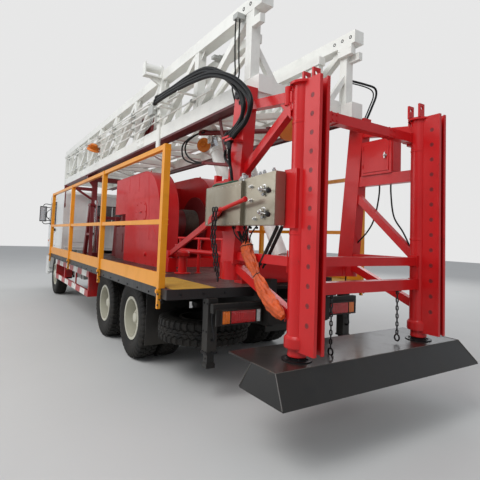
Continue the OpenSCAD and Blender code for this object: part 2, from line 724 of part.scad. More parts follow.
// Bracing between the lower chords, with the beam and lugs for the raising cylinders
base_x = 1500;
base_z = 1360;
eye_x = 2560;
eye_z = 3040;
ram_y = 250;
module mast_bracing() {
    half = mast_half - chord_low;
    z0 = mast_low + 40;
    z1 = mast_low + 120;
    color("#f2f2ee") placed() {
        for (x = concat(post_x, [mast_front - post_w / 2])) box(x - 45, x + 45, -half, half, z0, z1);
        for (i = [1:len(post_x) - 1]) {
            s = i % 2 == 0 ? 1 : -1;
            bar_plan([post_x[i - 1], s * (half - 45)], [post_x[i], -s * (half - 45)], z0 + 5, z1 - 5, 70);
        }
        box(eye_x - 60, eye_x + 60, -half, half, z0, z1);
        box(post_x[0] - 40, post_x[0] + 40, -half, half, z1 - 1, chord_z1 + 40);
        both() translate([post_x[0] - 30, 0, 0]) rotate([90, 0, 90]) linear_extrude(60)
            polygon([[half + 70 - seat, chord_z1 + 290], [half + 70 - seat, chord_z1 + 390],
                [half - 195, chord_z1 + 39], [half - 105, chord_z1 + 39]]);
        both() for (y = [ram_y - 58, ram_y + 38]) difference() {
            box(eye_x - 50, eye_x + 50, y, y + 20, eye_z - 55, z0 + 1);
            across(eye_x, eye_z, y - 1, y + 21, 25);
        }
    }
}

// Upper mast section, stowed inside the lower one on its slide pads
up_half = 540;
up_low = chord_z1 + 30;
up_top = chord_z0 - 70;
up_rear = 1150;
up_front = mast_front + 150;
up_chord = 100;
up_bay = 1030;
up_x = [for (x = [up_rear + 60:up_bay:up_front - 60]) x];
module mast_upper() {
    color("#ecece6") placed() {
        both() {
            for (z = [up_low, up_top - up_chord])
                box(up_rear, up_front, up_half - up_chord, up_half, z, z + up_chord);
            for (x = up_x) box(x - 35, x + 35, up_half - 85, up_half - 15, up_low + 1, up_top - 1);
            for (i = [1:len(up_x) - 1])
                bar_side([up_x[i], up_low + up_chord - 20], [up_x[i - 1], up_top - up_chord + 20],
                    up_half - 80, up_half - 30, 55);
            for (x = [up_rear, up_rear + 1200])
                box(x, x + 220, up_half - 20, up_half + 85, chord_z1 + seat, up_low + 20);
        }
        for (x = up_x) box(x - 30, x + 30, -up_half + 50, up_half - 50, up_low + 20, up_low + 80);
    }
}

// Crown: side plates, deck and sheaves on one shaft
module crown_block() {
    sheave_x = crown_front - 270;
    mid_z = (up_low + up_top) / 2;
    color("#ecece6") placed() {
        both() difference() {
            slab([[up_front, up_low], [crown_front - 120, up_low], [crown_front, mid_z - 150],
                [crown_front, mid_z + 180], [crown_front - 120, up_top], [up_front, up_top]],
                up_half - 60, up_half - 20);
            across(up_front + 130, mid_z, up_half - 61, up_half - 19, 90);
        }
        across(sheave_x, mid_z, -up_half + 30, up_half - 30, 55);
        for (y = [-320:128:320]) {
            across(sheave_x, mid_z, y - 8, y + 8, 230);
            across(sheave_x, mid_z, y - 32, y + 32, 200);
        }
        box(up_front, up_front + 60, -up_half + 30, up_half - 30, up_low, up_low + 100);
        box(up_front, up_front + 60, -up_half + 30, up_half - 30, up_top - 100, up_top);
        box(crown_front - 90, crown_front - 10, -up_half + 30, up_half - 30, mid_z - 40, mid_z + 40);
    }
}

// Rest for the mast behind the cab
module mast_rest() {
    x = deck_front - 200;
    color("#a81c1e") placed() {
        both() {
            box(x, x + 110, 480, 600, deck_top + seat, 2960);
            box(x - 60, x + 170, 430, 650, deck_top + seat, deck_top + 20);
            box(x - 20, x + 130, mast_half - chord_low + 20, mast_half - 20, mast_low - 50, mast_low - seat);
            bar_side([x - 700, deck_top + 20], [x + 30, 2500], 500, 580, 70);
        }
        box(x, x + 110, -mast_half + 20, mast_half - 20, 2950, 3070);
        box(x + 20, x + 90, -490, 490, 2000, 2080);
    }
}

// Raising cylinders: barrels pinned on the sub-frame, rods reaching the lugs under the mast
ram = [eye_x - base_x, eye_z - base_z];
ram_len = norm(ram);
ram_deg = atan2(ram[1], ram[0]);
barrel_len = 1780;
module on_ram() {
    both() translate([base_x, ram_y, base_z]) rotate([0, 90 - ram_deg, 0]) children();
}
module raising_barrels() {
    color("#d8d8d4") placed() {
        on_ram() difference() {
            union() {
                translate([0, 0, 95]) cylinder(h = barrel_len - 95, r = 90);
                translate([0, 0, barrel_len - 60]) cylinder(h = 60, r = 102);
                translate([-50, -30, 0]) cube([100, 60, 100]);
                rotate([90, 0, 0]) translate([0, 0, -30]) cylinder(h = 60, r = 60);
                rotate([90, 0, 0]) translate([0, 0, -60]) cylinder(h = 120, r = 30);
            }
            translate([0, 0, 110]) cylinder(h = barrel_len, r = 56);
        }
    }
}
module raising_rods() {
    color("#b9bcc0") placed() {
        on_ram() difference() {
            union() {
                translate([0, 0, 150]) cylinder(h = ram_len - 340, r = 55);
                translate([-45, -28, ram_len - 195]) cube([90, 56, 195]);
                translate([0, 0, ram_len]) rotate([90, 0, 0]) translate([0, 0, -28]) cylinder(h = 56, r = 55);
            }
            translate([0, 0, ram_len]) rotate([90, 0, 0]) translate([0, 0, -30]) cylinder(h = 60, r = 25);
        }
    }
}

// Winch drum with its rounded guards and skid
drum_x = deck_rear + 3410;
drum_z = deck_top + 750;
guard_y1 = 500;
guard_y0 = 160;
far_y1 = -520;
far_y0 = -860;
guard_r = 800;
arc_x = drum_x + 60;
arc_z = drum_z + 110;
case_rear = arc_x - guard_r;
case_front = drum_x + 1080;
guard_top = arc_z + guard_r;
module guard_shape(y0, y1) {
    across(arc_x, arc_z, y0, y1, guard_r);
    box(arc_x, case_front, y0, y1, deck_top + seat, guard_top);
    box(case_rear, arc_x + 20, y0, y1, deck_top + seat, arc_z);
}
module drawworks_case() {
    color("#cf2222") placed() difference() {
        union() {
            guard_shape(guard_y0, guard_y1);
            guard_shape(far_y0, far_y1);
            box(case_rear, case_front, far_y1 - 1, guard_y0 + 1, deck_top + seat, deck_top + 140);
            box(case_front - 340, case_front, far_y1 - 1, guard_y0 + 1, deck_top + 139, guard_top - 160);
            box(case_front - 1, case_front + 710, guard_y0, guard_y1, guard_top - 740, guard_top);
        }
        across(drum_x, drum_z, far_y1 - 60, guard_y0 + 60, 60 + run);
    }
}
module drawworks_drum() {
    color("#b31d1d") placed() {
        across(drum_x, drum_z, far_y1 - 50, guard_y0 + 50, 60);
        across(drum_x, drum_z, far_y1 + 20, guard_y0 - 20, 260);
        for (y = [far_y1 + 20, guard_y0 - 50]) across(drum_x, drum_z, y, y + 30, 520);
    }
}

// Angle gearbox, winch and their frames between drum and cab
gear_x = case_front + 260;
gear_len = 600;
winch_x = gear_x + gear_len + 250;
winch_z = deck_top + 770;
module winch_set() {
    color("#b31d1d") placed() {
        box(gear_x, gear_x + gear_len, -300, 420, deck_top + seat, deck_top + 670);
        along(case_front + seat, gear_x, 0, deck_top + 470, 110);
        both() for (x = [winch_x, winch_x + 500])
            slab([[x - 160, deck_top + seat], [x + 160, deck_top + seat], [x + 50, winch_z + 150],
                [x - 50, winch_z + 150]], 180, 240);
        along(winch_x - 50, winch_x + 550, 0, winch_z, 150);
        for (x = [winch_x - 30, winch_x + 470]) box(x, x + 60, -240, 240, winch_z - 160, winch_z - 40);
        box(gear_x + gear_len - 1, winch_x + 50, -100, 100, winch_z - 260, winch_z - 100);
    }
}

// Driller's stainless console with its valve bank
module control_console() {
    y0 = post_y1 + seat;
    color("#8f8b80") placed() {
        slab([[520, 1765], [1180, 1765], [1180, 2145], [520, 2165]], y0, y0 + 150);
        slab([[60, 1765], [519, 1765], [519, 2180], [60, 2205]], y0 + 20, y0 + 120);
        box(500, 540, y0 + 20, y0 + 120, 1765, 2160);
        for (z = [1870, 2060]) {
            box(180, 240, y0 + 119, y0 + 150, z - 30, z + 30);
        }
    }
}

// Cabinet in the right side frame
module side_cabinet() {
    color("#c81e1e") placed() mirror([0, 1, 0]) box(320, 730, 760, 930, 2430 + seat, 2825);
}

chassis_frame();
subframe();
deck();
railing_left();
railing_right();
side_guard_left();
side_guard_right();
front_bumper();
cab_shell();
cab_glass();
cab_interior();
mirrors();
door_left();
door_right();
door_glass_left();
door_glass_right();
engine_block();
side_tanks();
front_axle();
knuckle_left();
knuckle_right();
rear_axles();
tyre_front_left();
tyre_front_right();
rim_front_left();
rim_front_right();
tyres_middle_left();
tyres_middle_right();
tyres_rear_left();
tyres_rear_right();
rims_middle_left();
rims_middle_right();
rims_rear_left();
rims_rear_right();
spare_wheel();
tail_beam();
stabiliser_sleeves();
stabiliser_left();
stabiliser_right();
rear_frame_left();
rear_frame_right();
cross_beams();
jack_rods();
base_beam();
mast_side_left();
mast_side_right();
mast_bracing();
mast_upper();
crown_block();
mast_rest();
raising_barrels();
raising_rods();
drawworks_case();
drawworks_drum();
winch_set();
control_console();
side_cabinet();
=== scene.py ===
"""Dresses a truck-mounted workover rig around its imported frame.

Lengths are in metres. A place on the rig is given by its station, counted forward from the rear
legs, its distance to the left of the centre plane and its height above the ground.
"""

import json
import logging
import math
from dataclasses import dataclass
from enum import Enum
from typing import Any, Iterable, Sequence

import bpy
import numpy as np
from mathutils import Matrix, Vector

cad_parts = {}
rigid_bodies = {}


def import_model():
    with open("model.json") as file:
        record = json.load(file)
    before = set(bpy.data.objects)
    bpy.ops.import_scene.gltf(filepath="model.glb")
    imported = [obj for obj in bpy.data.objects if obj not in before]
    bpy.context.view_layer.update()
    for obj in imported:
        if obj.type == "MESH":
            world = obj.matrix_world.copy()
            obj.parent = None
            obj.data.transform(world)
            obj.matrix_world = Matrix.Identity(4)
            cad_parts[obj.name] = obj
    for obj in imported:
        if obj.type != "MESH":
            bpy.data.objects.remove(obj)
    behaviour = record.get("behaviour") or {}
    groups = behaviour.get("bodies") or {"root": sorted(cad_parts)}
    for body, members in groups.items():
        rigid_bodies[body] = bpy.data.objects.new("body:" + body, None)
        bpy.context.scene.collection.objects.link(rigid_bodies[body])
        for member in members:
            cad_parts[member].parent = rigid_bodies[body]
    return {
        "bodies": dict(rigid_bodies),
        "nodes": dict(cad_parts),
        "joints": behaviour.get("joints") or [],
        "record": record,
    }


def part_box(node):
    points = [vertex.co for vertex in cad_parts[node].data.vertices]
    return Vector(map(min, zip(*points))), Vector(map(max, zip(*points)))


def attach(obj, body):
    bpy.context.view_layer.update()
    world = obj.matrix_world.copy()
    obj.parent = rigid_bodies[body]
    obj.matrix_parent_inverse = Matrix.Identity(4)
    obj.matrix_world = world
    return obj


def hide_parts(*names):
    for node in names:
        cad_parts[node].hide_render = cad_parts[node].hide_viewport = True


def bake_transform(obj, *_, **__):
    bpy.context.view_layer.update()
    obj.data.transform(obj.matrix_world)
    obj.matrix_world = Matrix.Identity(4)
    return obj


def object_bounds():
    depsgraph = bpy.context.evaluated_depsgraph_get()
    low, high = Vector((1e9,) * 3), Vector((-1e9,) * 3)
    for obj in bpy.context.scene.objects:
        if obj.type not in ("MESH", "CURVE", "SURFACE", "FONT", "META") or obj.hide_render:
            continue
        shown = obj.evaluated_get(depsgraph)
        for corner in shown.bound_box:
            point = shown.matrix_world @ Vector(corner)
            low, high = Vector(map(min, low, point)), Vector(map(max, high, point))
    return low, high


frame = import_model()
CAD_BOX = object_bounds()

logging.basicConfig(level=logging.INFO, format="%(message)s")
log = logging.getLogger("workover_rig")

Point = Sequence[float]
Pair = tuple[float, float]
Triple = tuple[float, float, float]
BEAM_BACK = 0.37
STATION_ZERO = CAD_BOX[0][0] + BEAM_BACK
TAU = 2 * math.pi
BEVEL_ANGLE = math.radians(40)
AHEAD, BACK = (1, 0, 0), (-1, 0, 0)
LEFT, RIGHT = (0, 1, 0), (0, -1, 0)
UP, DOWN = (0, 0, 1), (0, 0, -1)
SIDES = (("left", 1), ("right", -1))


def at(station: float, left: float, up: float) -> Vector:
    """Turns a station, a distance to the left and a height into a point of the frame.

    Args:
        station: Distance forward of the rear legs.
        left: Distance to the left of the centre plane.
        up: Height above the ground.

    Returns:
        The point in the frame's coordinates.
    """
    return Vector((STATION_ZERO + station, left, up))


def srgb(red: int, green: int, blue: int) -> Triple:
    """Turns a screen colour of 0 to 255 into the linear values that shaders take.

    Args:
        red: Red part.
        green: Green part.
        blue: Blue part.

    Returns:
        The three linear parts.
    """

    def linear(value: int) -> float:
        """One part of the colour, in linear light."""
        part = value / 255
        return part / 12.92 if part <= 0.04045 else ((part + 0.055) / 1.055) ** 2.4

    return linear(red), linear(green), linear(blue)


class Op(Enum):
    """The Math node's operations that are used, by Blender's names."""

    ADD = "ADD"
    SUBTRACT = "SUBTRACT"
    MULTIPLY = "MULTIPLY"
    DIVIDE = "DIVIDE"
    MULTIPLY_ADD = "MULTIPLY_ADD"
    MAXIMUM = "MAXIMUM"
    ABSOLUTE = "ABSOLUTE"
    FRACT = "FRACT"
    SINE = "SINE"


class Sock:
    """A shader output that adds Math nodes when it is used in arithmetic."""

    def __init__(self, tree: "Tree", link: bpy.types.NodeSocket) -> None:
        """Keeps the tree and the socket."""
        self.tree = tree
        self.link = link

    def math(self, operation: Op, *values: Any, clamp: bool = False) -> "Sock":
        """Adds one Math node.

        Args:
            operation: The operation.
            values: The inputs in order, numbers or sockets.
            clamp: Whether the result is held between 0 and 1.

        Returns:
            The node's result.
        """
        settings = {"operation": operation.value, "use_clamp": clamp}
        return self.tree.node("ShaderNodeMath", settings, dict(enumerate(values)))

    def __add__(self, other: Any) -> "Sock":
        """Sum."""
        return self.math(Op.ADD, self, other)

    __radd__ = __add__

    def __sub__(self, other: Any) -> "Sock":
        """Difference."""
        return self.math(Op.SUBTRACT, self, other)

    def __rsub__(self, other: Any) -> "Sock":
        """Difference from a number."""
        return self.math(Op.SUBTRACT, other, self)

    def __mul__(self, other: Any) -> "Sock":
        """Product."""
        return self.math(Op.MULTIPLY, self, other)

    __rmul__ = __mul__

    def __truediv__(self, other: Any) -> "Sock":
        """Quotient."""
        return self.math(Op.DIVIDE, self, other)

    def __rtruediv__(self, other: Any) -> "Sock":
        """Quotient of a number."""
        return self.math(Op.DIVIDE, other, self)

    def step(self, edge: float, soft: float) -> "Sock":
        """Rises from 0 to 1 around an edge.

        Args:
            edge: Value at the middle of the rise.
            soft: Width of the rise.

        Returns:
            The mask.
        """
        return self.math(Op.MULTIPLY_ADD, self, 1 / soft, 0.5 - edge / soft, clamp=True)

    def held(self) -> "Sock":
        """The value held between 0 and 1."""
        return self.math(Op.ADD, self, 0.0, clamp=True)


class Tree:
    """The node tree of one material, with short calls for its nodes."""

    def __init__(self, name: str) -> None:
        """Starts a material of that name with an empty tree.

        Args:
            name: Name of the material.
        """
        self.material = bpy.data.materials.new(name)
        self.material.use_nodes = True
        self.nodes = self.material.node_tree.nodes
        self.links = self.material.node_tree.links
        self.nodes.clear()
        self._place: Sock | None = None

    def node(self, kind: str, settings: dict[str, Any] | None = None, inputs: dict[Any, Any] | None = None,
            out: Any = 0) -> Sock:
        """Adds one node of any type.

        Args:
            kind: The node's type.
            settings: Its own settings, set first; a ramp takes its stops under "stops".
            inputs: Values or links of its sockets, by name or number.
            out: Name or number of the output that is wanted.

        Returns:
            That output.
        """
        made = self.nodes.new(kind)
        for key, value in (settings or {}).items():
            if key == "stops":
                self._stops(made.color_ramp, value)
            else:
                setattr(made, key, value)
        for key, value in (inputs or {}).items():
            socket = made.inputs[key]
            if isinstance(value, Sock):
                self.links.new(value.link, socket)
            else:
                socket.default_value = value
        return Sock(self, made.outputs[out])

    @staticmethod
    def _stops(ramp: bpy.types.ColorRamp, stops: Sequence[tuple[float, tuple]]) -> None:
        """Gives a colour ramp its stops.

        Args:
            ramp: The ramp.
            stops: Position and colour of each stop.
        """
        while len(ramp.elements) < len(stops):
            ramp.elements.new(0.5)
        for element, (position, colour) in zip(ramp.elements, stops):
            element.position = position
            element.color = (*colour[:3], 1.0)

    def place(self) -> Sock:
        """Object coordinates, which are metres in the frame.

        Returns:
            The coordinates.
        """
        if self._place is None:
            self._place = self.node("ShaderNodeTexCoord", out="Object")
        return self._place

    def axis(self, letter: str) -> Sock:
        """One coordinate of the place, X, Y or Z."""
        return self.node("ShaderNodeSeparateXYZ", inputs={0: self.place()}, out=letter)

    def normal_up(self) -> Sock:
        """How far the surface looks up, from -1 to 1."""
        face = self.node("ShaderNodeNewGeometry", out="Normal")
        return self.node("ShaderNodeSeparateXYZ", inputs={0: face}, out="Z")

    def stretched(self, scale: Point) -> Sock:
        """The place with each axis scaled."""
        return self.node("ShaderNodeMapping", inputs={"Vector": self.place(), "Scale": tuple(scale)})

    def noise(self, scale: float, detail: float = 3.0, rough: float = 0.55, where: Sock | None = None,
            warp: float = 0.0) -> Sock:
        """Noise of a given scale, about 0.2 to 0.8.

        Args:
            scale: Blotches per metre.
            detail: Number of finer layers.
            rough: Strength of the finer layers.
            where: Coordinates, or the place if left out.
            warp: Distortion of the noise.

        Returns:
            The noise value.
        """
        inputs = {"Vector": where or self.place(), "Scale": scale, "Detail": detail, "Roughness": rough,
            "Distortion": warp}
        return self.node("ShaderNodeTexNoise", inputs=inputs, out="Fac")

    def mix(self, factor: Any, first: Any, second: Any) -> Sock:
        """Mixes two colours, as tuples or sockets, by a factor.

        Args:
            factor: Share of the second colour.
            first: The first colour.
            second: The second colour.

        Returns:
            The mixed colour.
        """
        first = first if isinstance(first, Sock) else (*first[:3], 1.0)
        second = second if isinstance(second, Sock) else (*second[:3], 1.0)
        inputs = {"Factor": factor, 6: first, 7: second}
        return self.node("ShaderNodeMix", {"data_type": "RGBA"}, inputs, out=2)

    def bump(self, height: Sock, strength: float, distance: float, under: Sock | None = None) -> Sock:
        """Turns a height into a normal.

        Args:
            height: The height value.
            strength: Share of the effect.
            distance: Height in metres of a value of 1.
            under: A normal that this one lies on.

        Returns:
            The normal.
        """
        inputs: dict[Any, Any] = {"Height": height, "Strength": strength, "Distance": distance}
        if under is not None:
            inputs["Normal"] = under
        return self.node("ShaderNodeBump", inputs=inputs)

    def surface(self, **sockets: Any) -> bpy.types.Material:
        """Ends the tree with a Principled shader.

        Args:
            sockets: Its inputs, with underscores for spaces.

        Returns:
            The material.
        """
        inputs = {}
        for key, value in sockets.items():
            if isinstance(value, tuple) and len(value) == 3:
                value = (*value, 1.0)
            inputs[key.replace("_", " ")] = value
        shader = self.node("ShaderNodeBsdfPrincipled", inputs=inputs)
        self.node_output(shader)
        return self.material

    def node_output(self, shader: Sock) -> None:
        """Links a shader to the material's output."""
        output = self.nodes.new("ShaderNodeOutputMaterial")
        self.links.new(shader.link, output.inputs["Surface"])


@dataclass(frozen=True)
class Finish:
    """Base of every finish: it has a name and makes one material, once."""

    name: str

    def material(self) -> bpy.types.Material:
        """The finish's material, made on first use."""
        return bpy.data.materials.get(self.name) or self.make(Tree(self.name))

    def make(self, tree: Tree) -> bpy.types.Material:
        """Builds the material in a tree; each finish has its own."""
        raise NotImplementedError


@dataclass(frozen=True)
class Paint(Finish):
    """Sprayed enamel on steel, with dust low down, grime, runs and chipped spots."""

    colour: Triple = srgb(200, 30, 34)
    rough: float = 0.32
    coat: float = 0.35
    fade: float = 0.16
    chips: float = 0.5
    under: Triple = srgb(70, 52, 46)
    dust: float = 0.35
    peel: float = 0.5
    shine: float = 0.4

    def make(self, tree: Tree) -> bpy.types.Material:
        """Builds the paint, see the class.

        Args:
            tree: The material's empty tree.

        Returns:
            The material.
        """
        tone = tree.noise(1.3, 4.0)
        grime = tree.noise(5.0, 6.0, 0.62)
        streak = tree.noise(1.0, 5.0, 0.6, tree.stretched((14.0, 14.0, 1.1)))
        fine = tree.noise(60.0, 4.0, 0.6)
        dark = tuple(part * (1 - 1.6 * self.fade) for part in self.colour)
        pale = tuple(part + (0.75 - part) * self.fade * 0.22 for part in self.colour)
        base = tree.mix(tone.step(0.5, 0.45), dark, pale)
        dirty = (grime.step(0.6, 0.22) * 0.32 + streak.step(0.64, 0.2) * 0.12).held()
        base = tree.mix(dirty * 0.55, base, tuple(part * 0.42 for part in self.colour))
        low = 1 - tree.axis("Z").step(0.75, 1.2)
        flat = tree.normal_up().step(0.75, 0.4)
        dusty = ((low * 0.55 + flat * 0.45) * (grime * 1.2) * self.dust).held()
        base = tree.mix(dusty, base, srgb(150, 138, 120))
        chip = (fine * 0.55 + grime * 0.45).step(0.665 - 0.02 * self.chips, 0.012) * self.chips
        base = tree.mix(chip.held(), base, self.under)
        rough = (self.rough + tone * 0.08 + dirty * 0.25 + dusty * 0.45 + chip * 0.3).held()
        skin = tree.bump(tree.noise(160.0, 2.0), 0.1 * self.peel, 0.0012)
        skin = tree.bump(1 - chip, 0.35, 0.0006, skin)
        return tree.surface(Base_Color=base, Roughness=rough, Normal=skin, Coat_Roughness=0.12,
            Specular_IOR_Level=self.shine, Coat_IOR=1.35, Coat_Weight=(
            (1 - dirty) * (1 - dusty) * self.coat).held())


@dataclass(frozen=True)
class CheckerPlate(Paint):
    """Painted deck plate with crossed raised bars, worn where feet go, and painted shade on the faces that
    do not look up.
    """

    pitch: float = 0.034

    def make(self, tree: Tree) -> bpy.types.Material:
        """Builds the plate, see the class.

        Args:
            tree: The material's empty tree.

        Returns:
            The material.
        """
        x, y = tree.axis("X"), tree.axis("Y")
        rows, other = (x + y) / self.pitch, (x - y) / self.pitch

        def bars(along: Sock, across: Sock, shift: float) -> Sock:
            """Short raised bars in one direction.

            Args:
                along: Coordinate along the bars, in pitches.
                across: Coordinate across them.
                shift: Share of a pitch that they are moved by.

            Returns:
                The bars' mask.
            """
            run = (along + shift).math(Op.FRACT, along + shift) - 0.5
            side = (across + shift).math(Op.FRACT, across + shift) - 0.5
            width = 1 - side.math(Op.ABSOLUTE, side).step(0.12, 0.1)
            length = 1 - run.math(Op.ABSOLUTE, run).step(0.36, 0.12)
            return width * length

        raised = (bars(rows * 0.5, other, 0.0) + bars(other * 0.5, rows, 0.5)).held()
        walk = tree.noise(1.7, 5.0, 0.6)
        worn = (raised * walk.step(0.5, 0.2)).held()
        grime = tree.noise(7.0, 6.0, 0.6)
        base = tree.mix(grime.step(0.5, 0.4), tuple(c * 0.6 for c in self.colour), self.colour)
        base = tree.mix(worn * 0.55, base, srgb(128, 106, 96))
        base = tree.mix(walk.step(0.58, 0.3) * 0.35, base, srgb(96, 78, 64))
        # Faces that do not look up get a near-black colour in place of the plate: painted shade.
        level = tree.normal_up().step(0.75, 0.2)
        base = tree.mix(level, srgb(22, 21, 21), base)
        rough = (self.rough + grime * 0.3 - worn * 0.12).held()
        skin = tree.bump(raised * level, 0.9, 0.0022)
        return tree.surface(Base_Color=base, Roughness=rough, Normal=skin, Coat_Weight=self.coat,
            Coat_Roughness=0.25)


@dataclass(frozen=True)
class Stripes(Paint):
    """Red and white reflecting tape in blocks along the truck."""

    other: Triple = srgb(228, 228, 222)
    pitch: float = 0.78
    share: float = 0.5

    def make(self, tree: Tree) -> bpy.types.Material:
        """Builds the tape, see the class.

        Args:
            tree: The material's empty tree.

        Returns:
            The material.
        """
        run = (tree.axis("X") + tree.axis("Z") * 0.25) / self.pitch
        block = run.math(Op.FRACT, run).step(self.share, 0.01)
        outside = tree.node("ShaderNodeNewGeometry", out="Normal")
        side = tree.node("ShaderNodeSeparateXYZ", inputs={0: outside}, out="Y")
        tape = side.math(Op.ABSOLUTE, side).step(0.8, 0.1)
        grime = tree.noise(9.0, 5.0, 0.6)
        base = tree.mix(block * tape, self.colour, self.other)
        base = tree.mix(grime.step(0.58, 0.25) * 0.5, base, srgb(84, 62, 54))
        cells = tree.node("ShaderNodeTexVoronoi", inputs={"Vector": tree.place(), "Scale": 260.0})
        skin = tree.bump(cells, 0.25, 0.0006)
        return tree.surface(Base_Color=base, Roughness=(0.3 + grime * 0.25).held(), Normal=skin,
            Coat_Weight=0.3, Coat_Roughness=0.2)


@dataclass(frozen=True)
class Rubber(Finish):
    """Black rubber, greyed by patchy dust."""

    colour: Triple = srgb(34, 33, 33)
    dust: Triple = srgb(96, 88, 78)
    amount: float = 0.5
    rough: float = 0.62
    grain: float = 260.0

    def make(self, tree: Tree) -> bpy.types.Material:
        """Builds the rubber, see the class.

        Args:
            tree: The material's empty tree.

        Returns:
            The material.
        """
        blot = tree.noise(6.0, 6.0, 0.65)
        fine = tree.noise(90.0, 4.0, 0.6)
        dusty = ((blot * 0.7 + fine * 0.4).step(0.6, 0.35) * self.amount).held()
        base = tree.mix(dusty, self.colour, self.dust)
        skin = tree.bump(tree.noise(self.grain, 3.0), 0.25, 0.0008)
        rough = (self.rough + dusty * 0.3 - fine * 0.08).held()
        return tree.surface(Base_Color=base, Roughness=rough, Normal=skin, Specular_IOR_Level=0.2)


@dataclass(frozen=True)
class Steel(Finish):
    """Bare or stainless steel sheet, brushed one way, with smears and heat tint."""

    colour: Triple = srgb(170, 165, 150)
    rough: float = 0.36
    brush: Triple = (1.0, 1.0, 60.0)
    stain: Triple = srgb(120, 104, 84)
    stains: float = 0.4

    def make(self, tree: Tree) -> bpy.types.Material:
        """Builds the steel, see the class.

        Args:
            tree: The material's empty tree.

        Returns:
            The material.
        """
        lines = tree.noise(9.0, 5.0, 0.7, tree.stretched(self.brush))
        smear = tree.noise(3.5, 5.0, 0.6, warp=0.6)
        stained = (smear.step(0.56, 0.3) * self.stains).held()
        base = tree.mix(lines.step(0.5, 0.7), tuple(c * 0.82 for c in self.colour), self.colour)
        base = tree.mix(stained, base, self.stain)
        rough = (self.rough + lines * 0.12 + stained * 0.25 - 0.06).held()
        skin = tree.bump(lines, 0.12, 0.0006)
        return tree.surface(Base_Color=base, Roughness=rough, Normal=skin,
            Metallic=(0.95 - stained * 0.35).held())


@dataclass(frozen=True)
class Pane(Finish):
    """Tinted glass with a film of dust."""

    tint: Triple = srgb(40, 52, 58)

    def make(self, tree: Tree) -> bpy.types.Material:
        """Builds the glass, see the class.

        Args:
            tree: The material's empty tree.

        Returns:
            The material.
        """
        film = tree.noise(4.0, 5.0, 0.6)
        rough = (0.04 + film.step(0.55, 0.4) * 0.12).held()
        alpha = (0.5 + film * 0.12).held()
        return tree.surface(Base_Color=tree.mix(film.step(0.6, 0.3) * 0.2, self.tint, srgb(150, 150, 140)),
            Roughness=rough, Alpha=alpha, Coat_Weight=1.0, Coat_Roughness=0.03)


@dataclass(frozen=True)
class Lens(Finish):
    """Ribbed plastic of a lamp, lit from its own colour."""

    colour: Triple = srgb(190, 20, 22)
    ribs: float = 0.012

    def make(self, tree: Tree) -> bpy.types.Material:
        """Builds the lens, see the class.

        Args:
            tree: The material's empty tree.

        Returns:
            The material.
        """
        run = (tree.axis("Y") + tree.axis("Z")) / self.ribs
        wave = run.math(Op.SINE, run * TAU)
        film = tree.noise(14.0, 4.0)
        base = tree.mix(film.step(0.6, 0.3) * 0.35, self.colour, tuple(c * 0.45 for c in self.colour))
        skin = tree.bump(wave, 0.3, 0.0008)
        return tree.surface(Base_Color=base, Roughness=(0.12 + film * 0.15).held(), Normal=skin,
            Coat_Weight=0.8, Coat_Roughness=0.05)


@dataclass(frozen=True)
class Grit(Finish):
    """Sprayed anti-slip coating, coarse and scuffed."""

    colour: Triple = srgb(196, 150, 44)

    def make(self, tree: Tree) -> bpy.types.Material:
        """Builds the coating, see the class.

        Args:
            tree: The material's empty tree.

        Returns:
            The material.
        """
        grains = tree.node("ShaderNodeTexVoronoi", inputs={"Vector": tree.place(), "Scale": 150.0})
        scuff = tree.noise(6.0, 6.0, 0.65)
        worn = (scuff.step(0.6, 0.22) * (1 - grains)).held()
        base = tree.mix(worn * 0.6, self.colour, srgb(84, 58, 44))
        base = tree.mix(grains.step(0.35, 0.3) * 0.35, base, tuple(c * 0.55 for c in self.colour))
        skin = tree.bump(grains, 0.8, 0.003)
        return tree.surface(Base_Color=base, Roughness=(0.7 + scuff * 0.2).held(), Normal=skin)


@dataclass(frozen=True)
class Wrap(Finish):
    """Woven plastic wrapping, creased and glossy in places, with painted shade in the crease valleys."""

    colour: Triple = srgb(226, 92, 30)

    def make(self, tree: Tree) -> bpy.types.Material:
        """Builds the wrapping, see the class.

        Args:
            tree: The material's empty tree.

        Returns:
            The material.
        """
        x, z = tree.axis("Z") / 0.006, (tree.axis("X") + tree.axis("Y")) / 0.006
        weave = x.math(Op.SINE, x * TAU) * z.math(Op.SINE, z * TAU)
        crease = tree.noise(22.0, 4.0, 0.6, warp=1.2)
        # Darker colour where the crease noise is low, in the valleys of the crease bump: painted shade.
        base = tree.mix(crease.step(0.5, 0.4), tuple(c * 0.6 for c in self.colour), self.colour)
        base = tree.mix(tree.noise(8.0, 5.0).step(0.62, 0.2) * 0.4, base, srgb(120, 50, 26))
        skin = tree.bump(weave, 0.25, 0.001, tree.bump(crease, 0.7, 0.006))
        return tree.surface(Base_Color=base, Roughness=(0.32 + crease * 0.3).held(), Normal=skin)


RED = Paint("rig_red_paint", srgb(206, 8, 14), rough=0.3, fade=0.08, dust=0.12, shine=0.3)
DARK_RED = Paint("dark_red_paint", srgb(118, 10, 18), rough=0.36, dust=0.2, shine=0.3)
# Maroon of the strips under the mast's chords: painted shade with a painted red reflection.
UNDERSIDE_SHADE_MAROON = Paint("maroon_underside_shade", srgb(104, 40, 44), rough=0.45, coat=0.2)
WHITE = Paint("mast_white_paint", srgb(240, 240, 234), rough=0.34, fade=0.05, chips=0.25,
    under=srgb(120, 104, 92), dust=0.2)
CAB_WHITE = Paint("cab_white_paint", srgb(232, 233, 230), rough=0.26, coat=0.5, fade=0.04, chips=0.1,
    dust=0.25, peel=0.1)
YELLOW = Paint("railing_yellow_paint", srgb(242, 158, 20), rough=0.3, fade=0.08, chips=0.3, dust=0.05,
    shine=0.3)
ORANGE = Paint("lamp_orange_paint", srgb(232, 128, 26), rough=0.35, fade=0.1)
BLACK = Paint("chassis_black_paint", srgb(20, 20, 21), rough=0.45, coat=0.1, fade=0.1, dust=0.25, shine=0.3)
GLOSS_BLACK = Paint("beam_black_paint", srgb(13, 14, 15), rough=0.26, coat=0.35, fade=0.04,
    under=srgb(96, 76, 62), chips=0.6, dust=0.1, shine=0.3)
